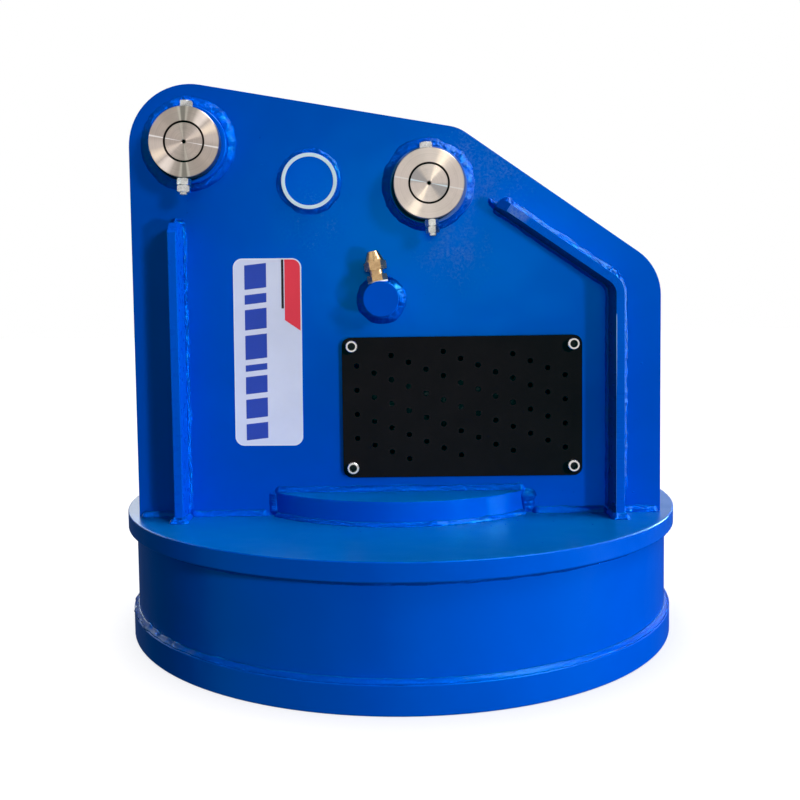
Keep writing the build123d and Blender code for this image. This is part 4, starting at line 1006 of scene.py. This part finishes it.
only(sun("glint", 58, 26, 2.4, 2.5, (0.45, 0.88, 1.0), diffuse=False), welds)
for i, (az, el) in enumerate(((72, 16), (89, 18), (106, 17), (121, 13), (135, 8))):
    only(sun("edge_gloss_%d" % i, az, el, 1.5, 6, (0.35, 0.85, 1.0), diffuse=False), [frame["nodes"][k] for k in ("top_plate", "yoke_disc")])
only(sun("zinc_front", 4, 7, 0.026, 16, (0.96, 1.0, 1.0), diffuse=False), zinc)
only(sun("brass_right", 118, 12, 1.1, 50, (1.0, 0.95, 0.88), diffuse=False), brass)
only(sun("brass_left", -116, 12, 0.6, 50, (1.0, 0.92, 0.80), diffuse=False), brass)
only(sun("spark", 44, 21, 0.85, 2.5, (1.0, 0.98, 0.95), diffuse=False), painted)
only(sun("window", -50.2, 12.8, 0.22, 1.5, (1.0, 1.0, 1.0), diffuse=False), painted)
only(sun("warm_lamp", 10.6, 21.0, 0.08, 3.2, (1.0, 0.86, 0.70), diffuse=False), steel)
AMBIENT = 0.105

w = bpy.data.worlds.new("studio")
bpy.context.scene.world = w
w.use_nodes = True
nt = w.node_tree
nt.nodes.clear()


def wn(kind, **kw):
    n = nt.nodes.new("ShaderNode" + kind)
    for q, v in kw.items():
        setattr(n, q, v)
    return n


def wmath(op, p, q=None):
    n = wn("Math", operation=op)
    for i, v in enumerate((p, q)):
        if v is None:
            continue
        if isinstance(v, (int, float)):
            n.inputs[i].default_value = v
        else:
            nt.links.new(v, n.inputs[i])
    return n.outputs[0]


def wspan(v, a, b, c, d):
    n = wn("MapRange", clamp=True, interpolation_type="SMOOTHSTEP")
    nt.links.new(v, n.inputs[0])
    for i, q in enumerate((a, b, c, d)):
        n.inputs[1 + i].default_value = q
    return n.outputs[0]


sep = wn("SeparateXYZ")
nt.links.new(wn("TexCoord").outputs["Generated"], sep.inputs[0])
dx, dy, dz = sep.outputs
# what gloss sees: pale walls in front, one dark gap to the left of the middle, and a bright hall behind
ay = wmath("MAXIMUM", wmath("ABSOLUTE", dy), 0.02)
hu, hv = wmath("DIVIDE", dx, ay), wmath("DIVIDE", dz, ay)
turn = wmath("DIVIDE", wmath("ARCTAN2", wmath("ABSOLUTE", dz), wmath("ABSOLUTE", dx)), math.pi / 2)
rampn = wn("ValToRGB")
cr = rampn.color_ramp
FRONT = [(0.0, (0.76, 0.71, 0.71)), (0.15, (0.82, 0.77, 0.76)), (0.30, (0.76, 0.72, 0.71)), (0.42, (0.85, 0.79, 0.73)), (0.62, (0.92, 0.87, 0.83)), (1.0, (1.0, 0.96, 0.92))]
while len(cr.elements) < len(FRONT):
    cr.elements.new(0.5)
for e, (p, c) in zip(cr.elements, FRONT):
    e.position, e.color = p, c + (1.0,)
nt.links.new(turn, rampn.inputs[0])
off = wmath("ABSOLUTE", wmath("ADD", hu, 0.21))
away = wspan(wmath("ABSOLUTE", wmath("SUBTRACT", hv, 0.18)), 0.16, 0.30, 0.0, 1.0)
gapw = wmath("MULTIPLY", wspan(off, 0.050, 0.085, 1.0, 0.0), away)
flank = wmath("MULTIPLY", wmath("MULTIPLY", wspan(off, 0.14, 0.20, 1.0, 0.0), wspan(off, 0.060, 0.09, 0.0, 1.0)), away)
gmix1 = wn("Mix", data_type="RGBA")
nt.links.new(flank, gmix1.inputs[0])
nt.links.new(rampn.outputs[0], gmix1.inputs[6])
gmix1.inputs[7].default_value = (0.74, 0.80, 0.72, 1)
gmix2 = wn("Mix", data_type="RGBA")
nt.links.new(gapw, gmix2.inputs[0])
nt.links.new(gmix1.outputs[2], gmix2.inputs[6])
gmix2.inputs[7].default_value = (0.13, 0.13, 0.12, 1)
back = wmath("MULTIPLY", wspan(dy, 0.0, 0.75, 0.0, 1.0), wspan(dz, -0.03, 0.14, 0.0, 1.0))
back = wmath("MULTIPLY", back, wspan(dx, -0.75, 0.35, 0.45, 1.0))
back = wmath("ADD", wmath("MULTIPLY", back, 0.80), 0.06)
bcol = wn("CombineXYZ")
for i, k in enumerate((0.92, 0.97, 1.0)):
    nt.links.new(wmath("MULTIPLY", back, k), bcol.inputs[i])
gm = wn("Mix", data_type="RGBA")
nt.links.new(wspan(dy, -0.22, 0.02, 0.0, 1.0), gm.inputs[0])
nt.links.new(gmix2.outputs[2], gm.inputs[6])
nt.links.new(bcol.outputs[0], gm.inputs[7])
# what falls on matt surfaces
amb = wmath("ADD", wmath("MULTIPLY", wmath("MULTIPLY", wspan(dy, -0.1, 0.5, 0.0, 1.0), wspan(dz, 0.0, 0.3, 0.0, 1.0)), 0.20), AMBIENT)
bg = [wn("Background") for _ in range(3)]
nt.links.new(gm.outputs[2], bg[0].inputs[0])
bg[1].inputs[0].default_value = (0.93, 0.96, 1.0, 1)
nt.links.new(amb, bg[1].inputs[1])
bg[2].inputs[0].default_value = (1, 1, 1, 1)
lp = wn("LightPath")
m1, m2 = wn("MixShader"), wn("MixShader")
nt.links.new(lp.outputs["Is Glossy Ray"], m1.inputs[0])
nt.links.new(bg[1].outputs[0], m1.inputs[1])
nt.links.new(bg[0].outputs[0], m1.inputs[2])
nt.links.new(lp.outputs["Is Camera Ray"], m2.inputs[0])
nt.links.new(m1.outputs[0], m2.inputs[1])
nt.links.new(bg[2].outputs[0], m2.inputs[2])
nt.links.new(m2.outputs[0], wn("OutputWorld").inputs[0])

scene = bpy.context.scene
scene.view_settings.view_transform = "Standard"
scene.view_settings.look = "None"
scene.view_settings.exposure = 0.0
scene.view_settings.gamma = 1.0
# the photograph's red channel is cut off just above black
scene.view_settings.use_curve_mapping = True
scene.view_settings.curve_mapping.black_level = (0.008, 0.0, 0.0)
scene.view_settings.curve_mapping.update()

# ------------------------------------------------------------------ camera, as fitted to the photograph
yaw, pitch, roll = math.radians(0.660), math.radians(3.405), math.radians(-0.800)
rz = Matrix.Rotation(yaw, 3, "Z")
fwd = rz @ Vector((0, math.cos(pitch), -math.sin(pitch)))
up = rz @ Vector((0, math.sin(pitch), math.cos(pitch)))
right = rz @ Vector((1, 0, 0))
r2 = math.cos(roll) * right + math.sin(roll) * up
u2 = -math.sin(roll) * right + math.cos(roll) * up
cd = bpy.data.cameras.new("camera")
cam = bpy.data.objects.new("camera", cd)
scene.collection.objects.link(cam)
cam.matrix_world = Matrix(((r2.x, u2.x, -fwd.x, -0.01525), (r2.y, u2.y, -fwd.y, -2.09028), (r2.z, u2.z, -fwd.z, 0.66985), (0, 0, 0, 1)))
cd.sensor_width = 36.0
cd.lens = 918.9 / 800.0 * 36.0
cd.shift_x = 0.0248
cd.shift_y = -0.0370
cd.clip_start, cd.clip_end = 0.05, 200.0
scene.camera = cam
